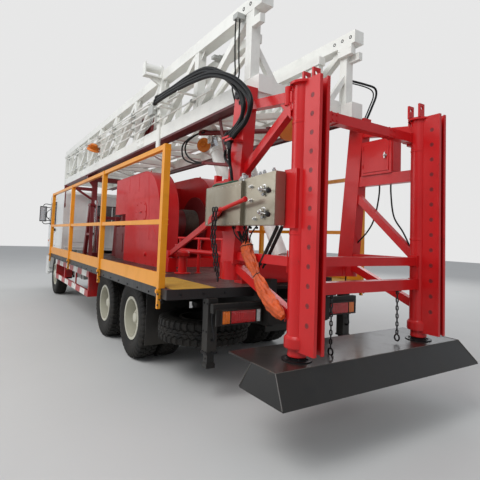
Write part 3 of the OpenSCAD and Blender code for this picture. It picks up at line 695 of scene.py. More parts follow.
BEAM_SEAM = Paint("beam_seam_paint", srgb(62, 60, 58), rough=0.4, chips=1.0, under=srgb(128, 104, 86))
GREY = Paint("satin_grey_paint", srgb(178, 180, 176), rough=0.4, fade=0.06, chips=0.2)
CREAM = Paint("rim_cream_enamel", srgb(206, 204, 186), rough=0.34, fade=0.07, chips=0.35,
    under=srgb(96, 74, 60), dust=0.45)
IRON = Paint("cast_iron_paint", srgb(84, 86, 88), rough=0.6, coat=0.0, fade=0.2, peel=2.0)
GREEN = Paint("valve_green_paint", srgb(28, 92, 66), rough=0.45)
DECK = CheckerPlate("deck_plate_paint", srgb(58, 27, 24), rough=0.42, coat=0.3, shine=0.3)
TAPE = Stripes("guard_tape", srgb(178, 26, 26))
TYRE = Rubber("tyre_rubber_worn", srgb(24, 24, 24), srgb(74, 68, 60), 0.4)
HOSE = Rubber("hose_rubber", srgb(12, 13, 14), srgb(40, 40, 40), 0.1, 0.4, 500.0)
PLASTIC = Rubber("black_plastic", srgb(28, 28, 30), amount=0.25, rough=0.45, grain=700.0)
LINING = Rubber("cab_lining_cloth", srgb(62, 64, 70), srgb(90, 90, 92), 0.3, 0.85, 900.0)
STAINLESS = Steel("console_stainless", srgb(168, 162, 146))
BRIGHT = Steel("bright_fitting_steel", srgb(205, 205, 204), 0.22, stains=0.2)
CHROME = Steel("hard_chrome_rod", srgb(214, 216, 220), 0.12, stains=0.08)
DARK_STEEL = Steel("oiled_dark_steel", srgb(58, 58, 60), 0.4, stains=0.5, stain=srgb(44, 34, 28))
ROPE = Steel("wire_rope_steel", srgb(110, 108, 104), 0.45, (1.0, 1.0, 1.0), stains=0.6)
SILENCER = Steel("silencer_steel", srgb(112, 104, 96), 0.5, stains=0.8, stain=srgb(92, 60, 40))
GLASS = Pane("tinted_window_glass")
LAMP_RED = Lens("red_lamp_lens")
LAMP_AMBER = Lens("amber_lamp_lens", srgb(236, 120, 20))
LAMP_CLEAR = Lens("clear_lamp_lens", srgb(214, 216, 214), 0.02)
GRIT = Grit("yellow_grit_coating")
WRAP = Wrap("orange_woven_wrap")

CAD_FINISH: dict[str, Finish] = {
    "chassis_frame": BLACK, "subframe": BLACK, "tail_beam": BLACK, "rear_axles": BLACK,
    "front_axle": BLACK, "knuckle_left": BLACK, "knuckle_right": BLACK,
    "stabiliser_sleeves": BLACK, "stabiliser_left": GLOSS_BLACK, "stabiliser_right": GLOSS_BLACK,
    "deck": DECK, "railing_left": YELLOW, "railing_right": YELLOW,
    "side_guard_left": TAPE, "side_guard_right": TAPE,
    "front_bumper": CAB_WHITE, "cab_shell": CAB_WHITE, "door_left": CAB_WHITE,
    "door_right": CAB_WHITE, "cab_glass": GLASS, "door_glass_left": GLASS,
    "door_glass_right": GLASS, "cab_interior": LINING, "mirrors": PLASTIC,
    "engine_block": IRON, "side_tanks": GREY,
    "tyre_front_left": TYRE, "tyre_front_right": TYRE, "tyres_middle_left": TYRE,
    "tyres_middle_right": TYRE, "tyres_rear_left": TYRE, "tyres_rear_right": TYRE,
    "spare_wheel": TYRE,
    "rim_front_left": CREAM, "rim_front_right": CREAM, "rims_middle_left": CREAM,
    "rims_middle_right": CREAM, "rims_rear_left": CREAM, "rims_rear_right": CREAM,
    "rear_frame_left": RED, "rear_frame_right": RED, "cross_beams": RED, "side_cabinet": RED,
    "mast_rest": DARK_RED, "drawworks_case": RED, "drawworks_drum": DARK_RED,
    "winch_set": DARK_RED, "base_beam": GLOSS_BLACK, "jack_rods": DARK_STEEL,
    "mast_side_left": WHITE, "mast_side_right": WHITE, "mast_bracing": WHITE,
    "mast_upper": WHITE, "crown_block": WHITE, "raising_barrels": WHITE,
    "raising_rods": CHROME, "control_console": STAINLESS,
}


def dress_frame() -> None:
    """Gives every node of the frame its finish."""
    for name, finish in CAD_FINISH.items():
        node = frame["nodes"][name]
        node.data.materials.clear()
        node.data.materials.append(finish.material())
        log.info("%s: %s", name, finish.name)


@dataclass
class Studio:
    """Pale floor, soft light and the camera at the photograph's place."""

    eye: Triple = (-2.54, 3.02, 1.65)
    forward: Triple = (0.83989, -0.5393, 0.06121)
    right: Triple = (-0.54183, -0.8397, 0.03643)
    focal: float = 30.75
    shift_down: float = 27 / 480
    sensor: float = 36.0
    floor_half: float = 40.0
    lamps: tuple[tuple[str, Triple, float, float], ...] = (("key", (-7.0, 9.0, 11.0), 7.0, 900.0),
        ("fill", (6.0, 12.0, 7.0), 9.0, 500.0), ("back", (4.0, -12.0, 9.0), 8.0, 520.0))
    sky: Triple = (0.92, 0.95, 1.0)
    sky_strength: float = 0.55
    backdrop: Triple = (0.8, 0.8, 0.8)

    def build(self) -> None:
        """Adds the camera, the floor, the lamps and the world."""
        self._camera()
        self._floor()
        self._lamps()
        self._world()

    def _camera(self) -> None:
        """Adds the camera."""
        data = bpy.data.cameras.new("photo_camera")
        data.lens = self.focal
        data.sensor_width = self.sensor
        data.shift_y = -self.shift_down
        camera = bpy.data.objects.new("photo_camera", data)
        bpy.context.scene.collection.objects.link(camera)
        back, right = -Vector(self.forward), Vector(self.right)
        turn = Matrix((right, back.cross(right), back)).transposed()
        camera.matrix_world = Matrix.Translation(at(*self.eye)) @ turn.to_4x4()
        bpy.context.scene.camera = camera

    def _floor(self) -> None:
        """Adds the floor."""
        half = self.floor_half
        mesh = bpy.data.meshes.new("studio_floor")
        corners = [(-half, -half, 0), (half, -half, 0), (half, half, 0), (-half, half, 0)]
        mesh.from_pydata(corners, [], [(0, 1, 2, 3)])
        floor = bpy.data.objects.new("studio_floor", mesh)
        bpy.context.scene.collection.objects.link(floor)
        tree = Tree("floor_paint")
        tone = tree.noise(0.6, 4.0)
        base = tree.mix(tone, srgb(198, 198, 196), srgb(206, 206, 204))
        mesh.materials.append(tree.surface(Base_Color=base, Roughness=0.85))

    def _lamps(self) -> None:
        """Adds three soft lamps."""
        for name, place, size, power in self.lamps:
            data = bpy.data.lights.new(name, "AREA")
            data.size = size
            data.energy = power
            lamp = bpy.data.objects.new(name, data)
            bpy.context.scene.collection.objects.link(lamp)
            lamp.location = place
            lamp.rotation_euler = (-Vector(place)).to_track_quat("-Z", "Y").to_euler()

    def _world(self) -> None:
        """Lights the scene softly, with a pale backdrop."""
        world = bpy.data.worlds.new("studio_world")
        bpy.context.scene.world = world
        world.use_nodes = True
        nodes, links = world.node_tree.nodes, world.node_tree.links
        nodes.clear()
        path = nodes.new("ShaderNodeLightPath")
        seen = nodes.new("ShaderNodeMath")
        seen.operation = Op.MAXIMUM.value
        links.new(path.outputs["Is Camera Ray"], seen.inputs[0])
        links.new(path.outputs["Is Transmission Ray"], seen.inputs[1])
        soft, backdrop = nodes.new("ShaderNodeBackground"), nodes.new("ShaderNodeBackground")
        soft.inputs["Color"].default_value = (*self.sky, 1.0)
        soft.inputs["Strength"].default_value = self.sky_strength
        backdrop.inputs["Color"].default_value = (*self.backdrop, 1.0)
        mix = nodes.new("ShaderNodeMixShader")
        links.new(seen.outputs[0], mix.inputs[0])
        links.new(soft.outputs[0], mix.inputs[1])
        links.new(backdrop.outputs[0], mix.inputs[2])
        links.new(mix.outputs[0], nodes.new("ShaderNodeOutputWorld").inputs[0])


def node_box(name: str) -> tuple[Vector, Vector]:
    """Lowest and highest corner of a node, with x as a station.

    Args:
        name: Name of the node.

    Returns:
        The two corners.
    """
    low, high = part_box(name)
    shift = Vector((STATION_ZERO, 0, 0))
    return Vector(low) - shift, Vector(high) - shift


def curve(points: Sequence[Point], steps: int = 8) -> list[Vector]:
    """Runs a smooth line through points.

    Args:
        points: Points that the line passes.
        steps: Pieces between two points.

    Returns:
        The points of the line.
    """
    ends = [Vector(p) for p in points]
    padded = [2 * ends[0] - ends[1], *ends, 2 * ends[-1] - ends[-2]]
    line = []
    for a, b, c, d in zip(padded, padded[1:], padded[2:], padded[3:]):
        for step in range(steps):
            t = step / steps
            line.append(0.5 * (2 * b + (c - a) * t + (2 * a - 5 * b + 4 * c - d) * t ** 2
                + (3 * b - a - 3 * c + d) * t ** 3))
    return [*line, ends[-1]]


def arc(centre: Point, first: Point, second: Point, start: float, end: float, steps: int = 16) -> list[
        Vector]:
    """Points on an arc in the plane of two axis vectors.

    Args:
        centre: Centre of the arc.
        first: Vector from the centre to angle 0, as long as the radius.
        second: Vector from the centre to a quarter turn.
        start: First angle in degrees.
        end: Last angle in degrees.
        steps: Pieces of the arc.

    Returns:
        The points.
    """
    angles = [math.radians(start + (end - start) * i / steps) for i in range(steps + 1)]
    middle, u, v = Vector(centre), Vector(first), Vector(second)
    return [middle + u * math.cos(a) + v * math.sin(a) for a in angles]


def circle(count: int, shift: float = 0.0) -> list[Pair]:
    """Equal steps around a circle of radius 1.

    Args:
        count: Number of steps.
        shift: Share of a step that the first one is turned by.

    Returns:
        Cosine and sine of each step.
    """
    turns = [TAU * (i + shift) / count for i in range(count)]
    return [(math.cos(turn), math.sin(turn)) for turn in turns]


class Shape:
    """A mesh put together from simple solids, in stations."""

    def __init__(self) -> None:
        """Starts empty."""
        self.points: list[Vector] = []
        self.faces: list[tuple[int, ...]] = []

    def add(self, points: Iterable[Point], faces: Iterable[Sequence[int]]) -> "Shape":
        """Adds points, and faces that number them from 0.

        Args:
            points: The points.
            faces: The faces, as numbers of these points.

        Returns:
            This shape.
        """
        start = len(self.points)
        self.points.extend(Vector(p) for p in points)
        self.faces.extend(tuple(start + i for i in face) for face in faces)
        return self

    def rings(self, rings: Sequence[Sequence[Point]], capped: bool = True) -> "Shape":
        """Skins rings of equally many points.

        Args:
            rings: The rings in order.
            capped: Whether the two ends are closed.

        Returns:
            This shape.
        """
        count = len(rings[0])
        faces = []
        for row in range(len(rings) - 1):
            for i in range(count):
                j = (i + 1) % count
                a, b = row * count, (row + 1) * count
                faces.append((a + i, a + j, b + j, b + i))
        if capped:
            last = (len(rings) - 1) * count
            faces.append(tuple(range(count))[::-1])
            faces.append(tuple(last + i for i in range(count)))
        return self.add([p for ring in rings for p in ring], faces)

    def box(self, low: Point, high: Point) -> "Shape":
        """Adds a box between two corners.

        Args:
            low: One corner.
            high: The opposite corner.

        Returns:
            This shape.
        """
        (x0, y0, z0), (x1, y1, z1) = low, high
        ring = [(x0, y0), (x1, y0), (x1, y1), (x0, y1)]
        return self.rings([[(x, y, z) for x, y in ring] for z in (z0, z1)])

    def bar(self, start: Point, end: Point, width: float, depth: float, up: Point = UP) -> "Shape":
        """Adds a square bar.

        Args:
            start: Middle of one end.
            end: Middle of the other end.
            width: Size across, level with the bar.
            depth: Size along the up direction.
            up: Direction that the depth is measured in.

        Returns:
            This shape.
        """
        a, b = Vector(start), Vector(end)
        way = (b - a).normalized()
        side = way.cross(Vector(up)).normalized() * width / 2
        rise = side.cross(way).normalized() * depth / 2
        corners = [side + rise, rise - side, -side - rise, side - rise]
        return self.rings([[p + c for c in corners] for p in (a, b)])

    def plate(self, outline: Sequence[Point], thick: Point) -> "Shape":
        """Adds a flat outline moved along a vector to give it thickness."""
        return self.rings([[Vector(p) for p in outline], [Vector(p) + Vector(thick) for p in outline]])

    def pipe(self, path: Sequence[Point], radius: float | Sequence[float], sides: int = 10) -> "Shape":
        """Adds a round pipe along a path.

        Args:
            path: Points of its middle line.
            radius: Its radius, or one radius for each point.
            sides: Number of sides.

        Returns:
            This shape.
        """
        line = [Vector(p) for p in path]
        way = (line[1] - line[0]).normalized()
        side = way.orthogonal().normalized()
        rings = []
        for i, point in enumerate(line):
            ahead = line[min(i + 1, len(line) - 1)] - line[max(i - 1, 0)]
            if ahead.length > 1e-9:
                side = (way.rotation_difference(ahead.normalized()) @ side)
                way = ahead.normalized()
            side = (side - way * side.dot(way)).normalized()
            size = radius if isinstance(radius, float) else radius[i]
            rings.append(self._circle(point, side, way.cross(side), size, sides))
        return self.rings(rings)

    @staticmethod
    def _circle(centre: Vector, side: Vector, up: Vector, radius: float, sides: int) -> list[Vector]:
        """Points on a circle."""
        return [centre + (side * x + up * y) * radius for x, y in circle(sides)]

    def turned(self, start: Point, way: Point, profile: Sequence[Pair], sides: int = 24) -> "Shape":
        """Adds a solid of revolution.

        Args:
            start: Point on the axis where the profile starts.
            way: Direction of the axis.
            profile: Pairs of distance along the axis and radius.
            sides: Number of sides.

        Returns:
            This shape.
        """
        axis = Vector(way).normalized()
        side = axis.orthogonal().normalized()
        up = axis.cross(side)
        rings = [self._circle(Vector(start) + axis * along, side, up, max(radius, 1e-4), sides)
            for along, radius in profile]
        return self.rings(rings)

    def rod(self, start: Point, end: Point, radius: float, sides: int = 16, chamfer: float = 0.0) -> "Shape":
        """Adds a round rod between two points, with chamfered ends if wanted.

        Args:
            start: Middle of one end.
            end: Middle of the other end.
            radius: Its radius.
            sides: Number of sides.
            chamfer: Width of the chamfers, or 0 for none.

        Returns:
            This shape.
        """
        a, b = Vector(start), Vector(end)
        length = (b - a).length
        profile = [(0.0, radius), (length, radius)]
        if chamfer:
            profile = [(0.0, radius - chamfer), (chamfer, radius), (length - chamfer, radius),
                (length, radius - chamfer)]
        return self.turned(a, b - a, profile, sides)

    def bolt(self, seat: Point, way: Point, size: float = 0.012) -> "Shape":
        """Adds a hexagon head with its washer.

        Args:
            seat: Point where the washer lies.
            way: Direction that the head points to.
            size: Radius of the head.

        Returns:
            This shape.
        """
        self.turned(seat, way, [(-0.001, size * 1.35), (size * 0.22, size * 1.35)], 14)
        top = size * 0.95
        return self.turned(seat, way, [(size * 0.2, size), (top - size * 0.15, size), (top, size * 0.82)], 6)

    def chain(self, path: Sequence[Point], link: float = 0.05, wire: float = 0.008) -> "Shape":
        """Adds a chain of round links along a path.

        Args:
            path: Points of its middle line.
            link: Outer length of a link.
            wire: Radius of the wire.

        Returns:
            This shape.
        """
        line = [Vector(p) for p in path]
        pitch = link - 2.2 * wire
        lengths = [(b - a).length for a, b in zip(line, line[1:])]
        count = int(sum(lengths) / pitch)
        for i in range(count):
            middle, way = self._walk(line, lengths, (i + 0.5) * pitch)
            side = way.orthogonal().normalized()
            if i % 2:
                side = way.cross(side).normalized()
            half, out = link / 2 - wire, link * 0.3 - wire
            loop = [middle + way * (math.copysign(half - out, x) + out * x) + side * out * y
                for x, y in circle(12)]
            self.pipe([*loop, loop[0]], wire, 6)
        return self

    @staticmethod
    def _walk(line: Sequence[Vector], lengths: Sequence[float], along: float) -> tuple[Vector, Vector]:
        """Point and direction at a distance along a line.

        Args:
            line: Points of the line.
            lengths: Distances between them.
            along: Distance from the line's start.

        Returns:
            The point and the direction.
        """
        for a, b, length in zip(line, line[1:], lengths):
            if along <= length or b is line[-1]:
                return a.lerp(b, min(along / length, 1.0)), (b - a).normalized()
            along -= length
        return line[-1], (line[-1] - line[-2]).normalized()

    def weld(self, path: Sequence[Point], radius: float = 0.006, pitch: float = 0.012) -> "Shape":
        """Adds a rippled weld bead along a path.

        Args:
            path: Points of the seam.
            radius: Radius of the bead.
            pitch: Length of one ripple.

        Returns:
            This shape.
        """
        for a, b in zip(path, path[1:]):
            start, way = Vector(a), Vector(b) - Vector(a)
            count = max(2, int(way.length / pitch))
            profile = [(way.length * i / (2 * count), radius * (1.0 if i % 2 else 0.72))
                for i in range(2 * count + 1)]
            self.turned(start, way, profile, 6)
        return self

    def mirrored(self) -> "Shape":
        """A copy on the other side of the centre plane.

        Returns:
            The copy.
        """
        made = Shape()
        made.points = [Vector((p.x, -p.y, p.z)) for p in self.points]
        made.faces = [face[::-1] for face in self.faces]
        return made

    def join(self, other: "Shape") -> "Shape":
        """Adds another shape to this one."""
        return self.add(other.points, other.faces)

    def hang(self, name: str, finish: Finish, body: str, slot: str, bevel: float = 0.0,
            smooth: float = 38.0) -> bpy.types.Object:
        """Makes the object, gives it its finish and hangs it on a body.

        Args:
            name: Name of the piece.
            finish: Its finish.
            body: Body of the frame that it rides on, or nothing for a piece that hangs on no body.
            slot: Name of a material slot; not used.
            bevel: Width of a bevel on its edges, or 0 for none.
            smooth: Angle in degrees below which faces shade smoothly.

        Returns:
            The object.
        """
        mesh = bpy.data.meshes.new(name)
        mesh.from_pydata([at(*p) for p in self.points], [], self.faces)
        mesh.materials.append(finish.material())
        piece = bpy.data.objects.new(name, mesh)
        bpy.context.scene.collection.objects.link(piece)
        if bevel:
            soften(piece, bevel)
        mesh.shade_smooth()
        mesh.set_sharp_from_angle(angle=math.radians(smooth))
        if body:
            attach(piece, body)
        log.info("%s: %d faces", name, len(self.faces))
        return piece


def soften(piece: bpy.types.Object, width: float) -> None:
    """Gives an object a narrow bevel on its sharp edges.

    Args:
        piece: The object.
        width: Width of the bevel.
    """
    bevel = piece.modifiers.new("edge", "BEVEL")
    bevel.width = width
    bevel.segments = 1
    bevel.limit_method = "ANGLE"
    bevel.angle_limit = BEVEL_ANGLE
    bevel.use_clamp_overlap = True
    bevel.harden_normals = False


@dataclass
class Wheels:
    """Tyres with road tread, wheel nuts, hub caps and valves."""

    radius: float = 0.525
    rim: float = 0.285
    twin: float = 0.32
    front: Pair = (9.4, 1.03)
    rear: tuple[tuple[float, str], ...] = ((2.95, "rear"), (4.3, "middle"))
    twin_left: float = 1.065
    pitches: int = 40
    columns: int = 8
    groove: float = 0.014
    nut_circle: float = 0.137
    nuts: int = 10
    cap_circle: float = 0.085
    wall: tuple[Pair, ...] = ((0.097, 0.266), (0.1085, 0.289), (0.1165, 0.3), (0.124, 0.325),
        (0.1305, 0.355), (0.1325, 0.358), (0.1325, 0.372), (0.1345, 0.376), (0.135, 0.415), (0.1325, 0.447),
        (0.129, 0.468), (0.1255, 0.486), (0.119, 0.503), (0.112, 0.514))
    tread_half: float = 0.106
    tread_points: int = 29
    arched: float = 0.007
    zigzag: float = 0.01
    long_groove: Pair = (0.04, 0.0068)
    middle_groove: float = 0.0042
    notch: Pair = (0.056, 0.26)
    sipe: Pair = (0.034, 0.07)
    grooved_from: float = 0.495
    shoulder: Pair = (0.46, 0.515)

    def tyre(self, mirror: bool) -> tuple[np.ndarray, list[tuple[int, ...]]]:
        """Points and faces of one tyre around the left-right axis.

        Args:
            mirror: Whether the tread runs the other way round.

        Returns:
            The points and the faces.
        """
        crown = np.linspace(self.tread_half, -self.tread_half, self.tread_points)
        wall = np.array(self.wall)
        y = np.concatenate([wall[:, 0], crown, -wall[::-1, 0]])
        r = np.concatenate([wall[:, 1], self.radius - self.arched * (crown / self.tread_half) ** 2,
            wall[::-1, 1]])
        rows = self.pitches * self.columns
        phase = (np.arange(rows) % self.columns)[:, None] / self.columns
        zig = self.zigzag * (2 * np.abs(2 * phase - 1) - 1)
        shift = np.where(y > 0, 0.0, 0.5)[None, :]
        step = (phase + shift) % 1.0
        outer = np.abs(y)[None, :]
        place, half = self.long_groove
        long_cut = np.abs(outer - place - zig * np.sign(y)[None, :]) < half
        middle_cut = (np.abs(y[None, :] + zig * 0.7) < self.middle_groove) * 0.7
        notch = (outer > self.notch[0]) & (step < self.notch[1])
        sipe = ((outer < self.sipe[0]) & (np.abs(step - 0.5) < self.sipe[1])) * 0.45
        depth = np.maximum(np.maximum(long_cut * 1.0, middle_cut), np.maximum(notch * 1.0, sipe))
        depth = depth * (r > self.grooved_from)[None, :] * self.groove
        inside, outside = self.shoulder
        hollow = ((r > inside) & (r < outside))[None, :] & (step < self.notch[1])
        turn = TAU * np.arange(rows)[:, None] / rows * (-1 if mirror else 1)
        radius = r[None, :] - depth
        across = np.broadcast_to(y[None, :], radius.shape) * (1 - 0.05 * hollow)
        points = np.stack([radius * np.cos(turn), across, radius * np.sin(turn)], axis=-1)
        count = len(y)
        faces = []
        for row in range(rows):
            a, b = row * count, ((row + 1) % rows) * count
            for i in range(count):
                j = (i + 1) % count
                face = (a + i, a + j, b + j, b + i)
                faces.append(face[::-1] if mirror else face)
        return points.reshape(-1, 3), faces

    def fit_tyres(self, node: str, body: str, centres: Sequence[Point], flat: bool = False) -> None:
        """Puts treaded tyres in place of a tyre node.

        Args:
            node: The node that they stand for.
            body: Its body.
            centres: Centre of each tyre.
            flat: Whether the tyre lies flat.
        """
        shape = Shape()
        points, faces = self.tyre(centres[0][1] < 0)
        if flat:
            points = points[:, [0, 2, 1]] * np.array([1, -1, 1])
        for centre in centres:
            shape.add((points + np.array(centre)).tolist(), faces)
        piece = shape.hang(f"tread_{node}", TYRE, body, "tyre_rubber", smooth=30)
        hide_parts(node)

    def dress_hub(self, name: str, body: str, station: float, disc: float, cap: float) -> None:
        """Adds nuts, a hub cap and a valve to a wheel.

        Args:
            name: Name of the wheel.
            body: Its body.
            station: Station of the axle.
            disc: Distance of the disc's face to the left, negative on the right.
            cap: Distance of the hub's end to the left.
        """
        way = math.copysign(1.0, cap)
        shape = Shape()
        for x, z in circle(self.nuts, 0.5):
            seat = Vector((station + self.nut_circle * x, disc, self.radius + self.nut_circle * z))
            shape.turned(seat, (0, way, 0), [(0, 0.021), (0.004, 0.021)], 14)
            shape.turned(seat, (0, way, 0), [(0.004, 0.0165), (0.027, 0.0165), (0.03, 0.013)], 6)
            shape.turned(seat, (0, way, 0), [(0.028, 0.009), (0.046, 0.009), (0.049, 0.006)], 10)
        shape.hang(f"nuts_{name}", DARK_STEEL, body, "rim_cream")
        face = (station, cap, self.radius)
        shape = Shape().turned(face, (0, way, 0), [(-0.002, 0.098), (0.01, 0.098), (0.013, 0.094),
            (0.013, 0.074), (0.03, 0.07), (0.04, 0.058), (0.043, 0.03), (0.043, 0.0)], 32)
        for x, z in circle(8):
            seat = Vector(face) + Vector((x, 0, z)) * self.cap_circle
            shape.bolt(seat + Vector((0, way * 0.011, 0)), (0, way, 0), 0.008)
        shape.hang(f"hub_cap_{name}", CREAM, body, "rim_cream")
        ring = Shape()
        edge = math.copysign(abs(disc) + 0.001, disc)
        ring.turned((station, edge, self.radius), (0, way, 0),
            [(0, 0.2495), (0.014, 0.2495), (0.006, 0.238), (0, 0.225)], 48)
        stem = [(station + 0.02, edge, self.radius + 0.225),
            (station + 0.02, edge + 0.05 * way, self.radius + 0.228),
            (station + 0.03, edge + 0.11 * way, self.radius + 0.238)]
        ring.pipe(curve(stem, 4), 0.0045, 8)
        ring.hang(f"rim_ring_{name}", CREAM, body, "rim_cream")

    def spare(self) -> None:
        """Adds the spare wheel's rim and its hanger."""
        low, high = node_box("spare_wheel")
        x, y = (low.x + high.x) / 2, (low.y + high.y) / 2
        z = low.z + 0.135
        self.fit_tyres("spare_wheel", "rig", [(x, y, z)], flat=True)
        rim = Shape().turned((x, y, z - 0.117), UP, [(0.0, 0.262), (0.0, self.rim), (0.008, self.rim),
            (0.01, 0.268), (0.222, 0.268), (0.226, self.rim), (0.234, self.rim), (0.234, 0.252),
            (0.06, 0.248), (0.05, 0.2), (0.035, 0.15), (0.035, 0.06), (0.02, 0.06), (0.018, 0.235),
            (0.0, 0.252)], 48)
        for along, across in circle(self.nuts):
            seat = (x + 0.1 * along, y + 0.1 * across, z - 0.097)
            rim.turned(seat, DOWN, [(0, 0.016), (0.006, 0.016), (0.006, 0.011)], 12)
        rim.hang("spare_rim", BLACK, "rig", "frame_black")
        hanger = Shape().rod((x, y, z - 0.1), (x, y, high.z - 0.002), 0.022, 12)
        hanger.box((x - 0.09, y - 0.02, z - 0.108), (x + 0.09, y + 0.02, z - 0.098))
        hanger.bolt((x, y, z - 0.108), DOWN, 0.028)
        hanger.hang("spare_hanger", DARK_STEEL, "rig", "frame_black")

    def build(self) -> None:
        """Builds every wheel's pieces."""
        station, left = self.front
        for side, sign in SIDES:
            body = f"wheel_front_{side}"
            self.fit_tyres(f"tyre_front_{side}", body, [(station, sign * left, self.radius)])
            self.dress_hub(f"front_{side}", body, station, sign * (left + 0.046), sign * (left + 0.115))
            for axle, row in self.rear:
                body = f"wheels_{row}_{side}"
                outer, inner = self.twin_left, self.twin_left - self.twin
                self.fit_tyres(f"tyres_{row}_{side}", body, [(axle, sign * y, self.radius)
                    for y in (outer, inner)])
                self.dress_hub(f"{row}_{side}", body, axle, sign * (outer - self.twin / 2 + 0.008),
                    sign * (outer + 0.035))
        self.spare()


@dataclass
class RearFrame:
    """Welds, bolts, gussets, pins, chains and cabinet of the red leg frame."""

    leg: float = 0.8
    tube: float = 0.088
    low: float = 0.8
    top: float = 2.95
    hole_station: float = -0.165
    hole_first: float = 1.0
    hole_pitch: float = 0.15
    hole: float = 0.013
    hinge: Pair = (0.82, 3.06)
    post_out: float = 0.9
    hoops: Pair = (1.69, 2.6)

    def _mirror(self, shape: Shape, name: str, finish: Finish, bevel: float = 0.0) -> None:
        """Hangs a shape and its mirror image on the rig."""
        shape.hang(f"{name}_left", finish, "rig", "rig_red", bevel)
        shape.mirrored().hang(f"{name}_right", finish, "rig", "rig_red", bevel)

    def flanges(self) -> None:
        """Bolts of the leg's flanges, and the ribs under them."""
        bolts, ribs = Shape(), Shape()
        for x, y in circle(8, 0.5):
            if x > -0.3:
                bolts.bolt((x * 0.104, self.leg + y * 0.104, self.top + 0.0005), UP, 0.01)
                bolts.bolt((x * 0.104, self.leg + y * 0.104, self.top - 0.0205), DOWN, 0.01)
                a, b = self.tube - 0.004, 0.114
                base = [(x * a, self.leg + y * a, self.top - 0.021),
                    (x * b, self.leg + y * b, self.top - 0.021), (x * a, self.leg + y * a, self.top - 0.09)]
                ribs.plate(base, (-y * 0.007, x * 0.007, 0))
        self._mirror(bolts, "leg_flange_bolts", DARK_STEEL)
        self._mirror(ribs, "leg_flange_ribs", RED)

    def collars(self) -> None:
        """Turned bands of the leg: guide collar, wear ring and two hoops."""
        shape = Shape().turned((0, self.leg, self.low - 0.072), UP,
            [(0, 0.052), (0, 0.07), (0.006, 0.078), (0.022, 0.078), (0.028, 0.0755), (0.06, 0.0755)], 40)
        shape.turned((0, self.leg, self.low + 0.004), UP, [
            (0, 0.1), (0.004, 0.109), (0.07, 0.109), (0.08, 0.1), (0.092, 0.092)], 40)
        for z in self.hoops:
            shape.turned((0, self.leg, z), UP, [(0, 0.087), (0.004, 0.0915), (0.024, 0.0915),
                (0.028, 0.087)], 40)
        self._mirror(shape, "leg_bands", RED)

    def hole_rims(self) -> None:
        """Burnished rims of the pin holes on both faces of the channel."""
        shape = Shape()
        count = int((self.top - 0.09 - self.hole_first) / self.hole_pitch) + 1
        faces = (self.leg + 0.0555, self.leg - 0.0555)
        for i in range(count):
            z = self.hole_first + i * self.hole_pitch
            for y, way in ((faces[0], 1), (faces[1], -1)):
                shape.turned((self.hole_station, y, z), (0, way, 0),
                    [(-0.011, self.hole + 0.0004), (-0.001, self.hole + 0.0004), (0.0006, self.hole + 0.003),
                    (0.0006, self.hole + 0.0065), (-0.001, self.hole + 0.008)], 20)
        self._mirror(shape, "pin_hole_rims", DARK_RED)

    def welds(self) -> None:
        """Weld beads along the channel and around the braces."""
        shape = Shape()
        for y in (self.leg - 0.055, self.leg + 0.055):
            shape.weld([(-0.07, y, self.low + 0.09), (-0.07, y, self.top - 0.03)], 0.006, 0.014)
        for z in (1.205, 1.305, 1.44, 1.52):
            shape.weld([(-0.048, self.leg - self.tube + 0.01, z), (0.048, self.leg - self.tube + 0.01, z)],
                0.006)
        for a, b in (((0.075, 1.385), (0.075, 1.565)), ((0.075, 2.79), (0.075, 2.9)),
                ((0.085, 0.99), (0.085, 1.1))):
            for y in (self.leg - 0.022, self.leg + 0.064):
                shape.weld([(a[0], y, a[1]), (b[0], y, b[1])], 0.006)
        for z0, z1, x in ((1.435, 1.515, 0.985), (2.9, 2.99, 0.795)):
            for y in (self.leg - 0.024, self.leg + 0.062):
                shape.weld([(x, y, z0), (x, y, z1)], 0.006)
        self._mirror(shape, "frame_welds", RED)

    def gussets(self) -> None:
        """Corner plates of the side frame."""
        shape = Shape()
        for y in (self.leg - 0.012, self.leg + 0.052):
            shape.plate([(0.1, y, 2.8), (0.09, y, 2.66), (0.24, y, 2.82)], (0, 0.01, 0))
            shape.plate([(0.9, y, 1.52), (0.985, y, 1.52), (0.965, y, 1.67)], (0, 0.01, 0))
        self._mirror(shape, "frame_gussets", RED, 0.0015)

    def hinge_pins(self) -> None:
        """Heads, keeper plates and grease points of the mast's hinge pins."""
        x, z = self.hinge
        shape = Shape().turned((x, self.post_out + 0.029, z), LEFT,
            [(0, 0.036), (0.004, 0.052), (0.016, 0.052), (0.02, 0.047), (0.02, 0.0)], 32)
        shape.box((x - 0.018, self.post_out + 0.001, z - 0.095),
            (x + 0.018, self.post_out + 0.012, z - 0.04))
        shape.bolt((x, self.post_out + 0.012, z - 0.075), LEFT, 0.01)
        shape.turned((x, self.post_out + 0.049, z), LEFT, [(0, 0.006), (0.012, 0.004), (0.016, 0.005)], 8)
        self._mirror(shape, "hinge_pin_heads", DARK_STEEL)
        ring = Shape().turned((x, self.post_out - 0.001, z), LEFT,
            [(0, 0.075), (0.012, 0.072), (0.014, 0.04), (0, 0.037)], 32)
        self._mirror(ring, "hinge_bosses", RED)

    def top_beam(self) -> None:
        """Bolted splice plates on the two long cross beams."""
        shape = Shape()
        for y in (0.36, 0.44):
            shape.box((0.034, y - 0.004, 2.698), (0.126, y + 0.004, 2.802))
        for z in (2.725, 2.775):
            for y in (0.375, 0.425):
                shape.bolt((0.0345, y, z), BACK, 0.008)
        shape.weld([(-0.05, 0.7, 1.312), (-0.05, 0.7, 1.432)], 0.006)
        self._mirror(shape, "cross_beam_splices", RED)

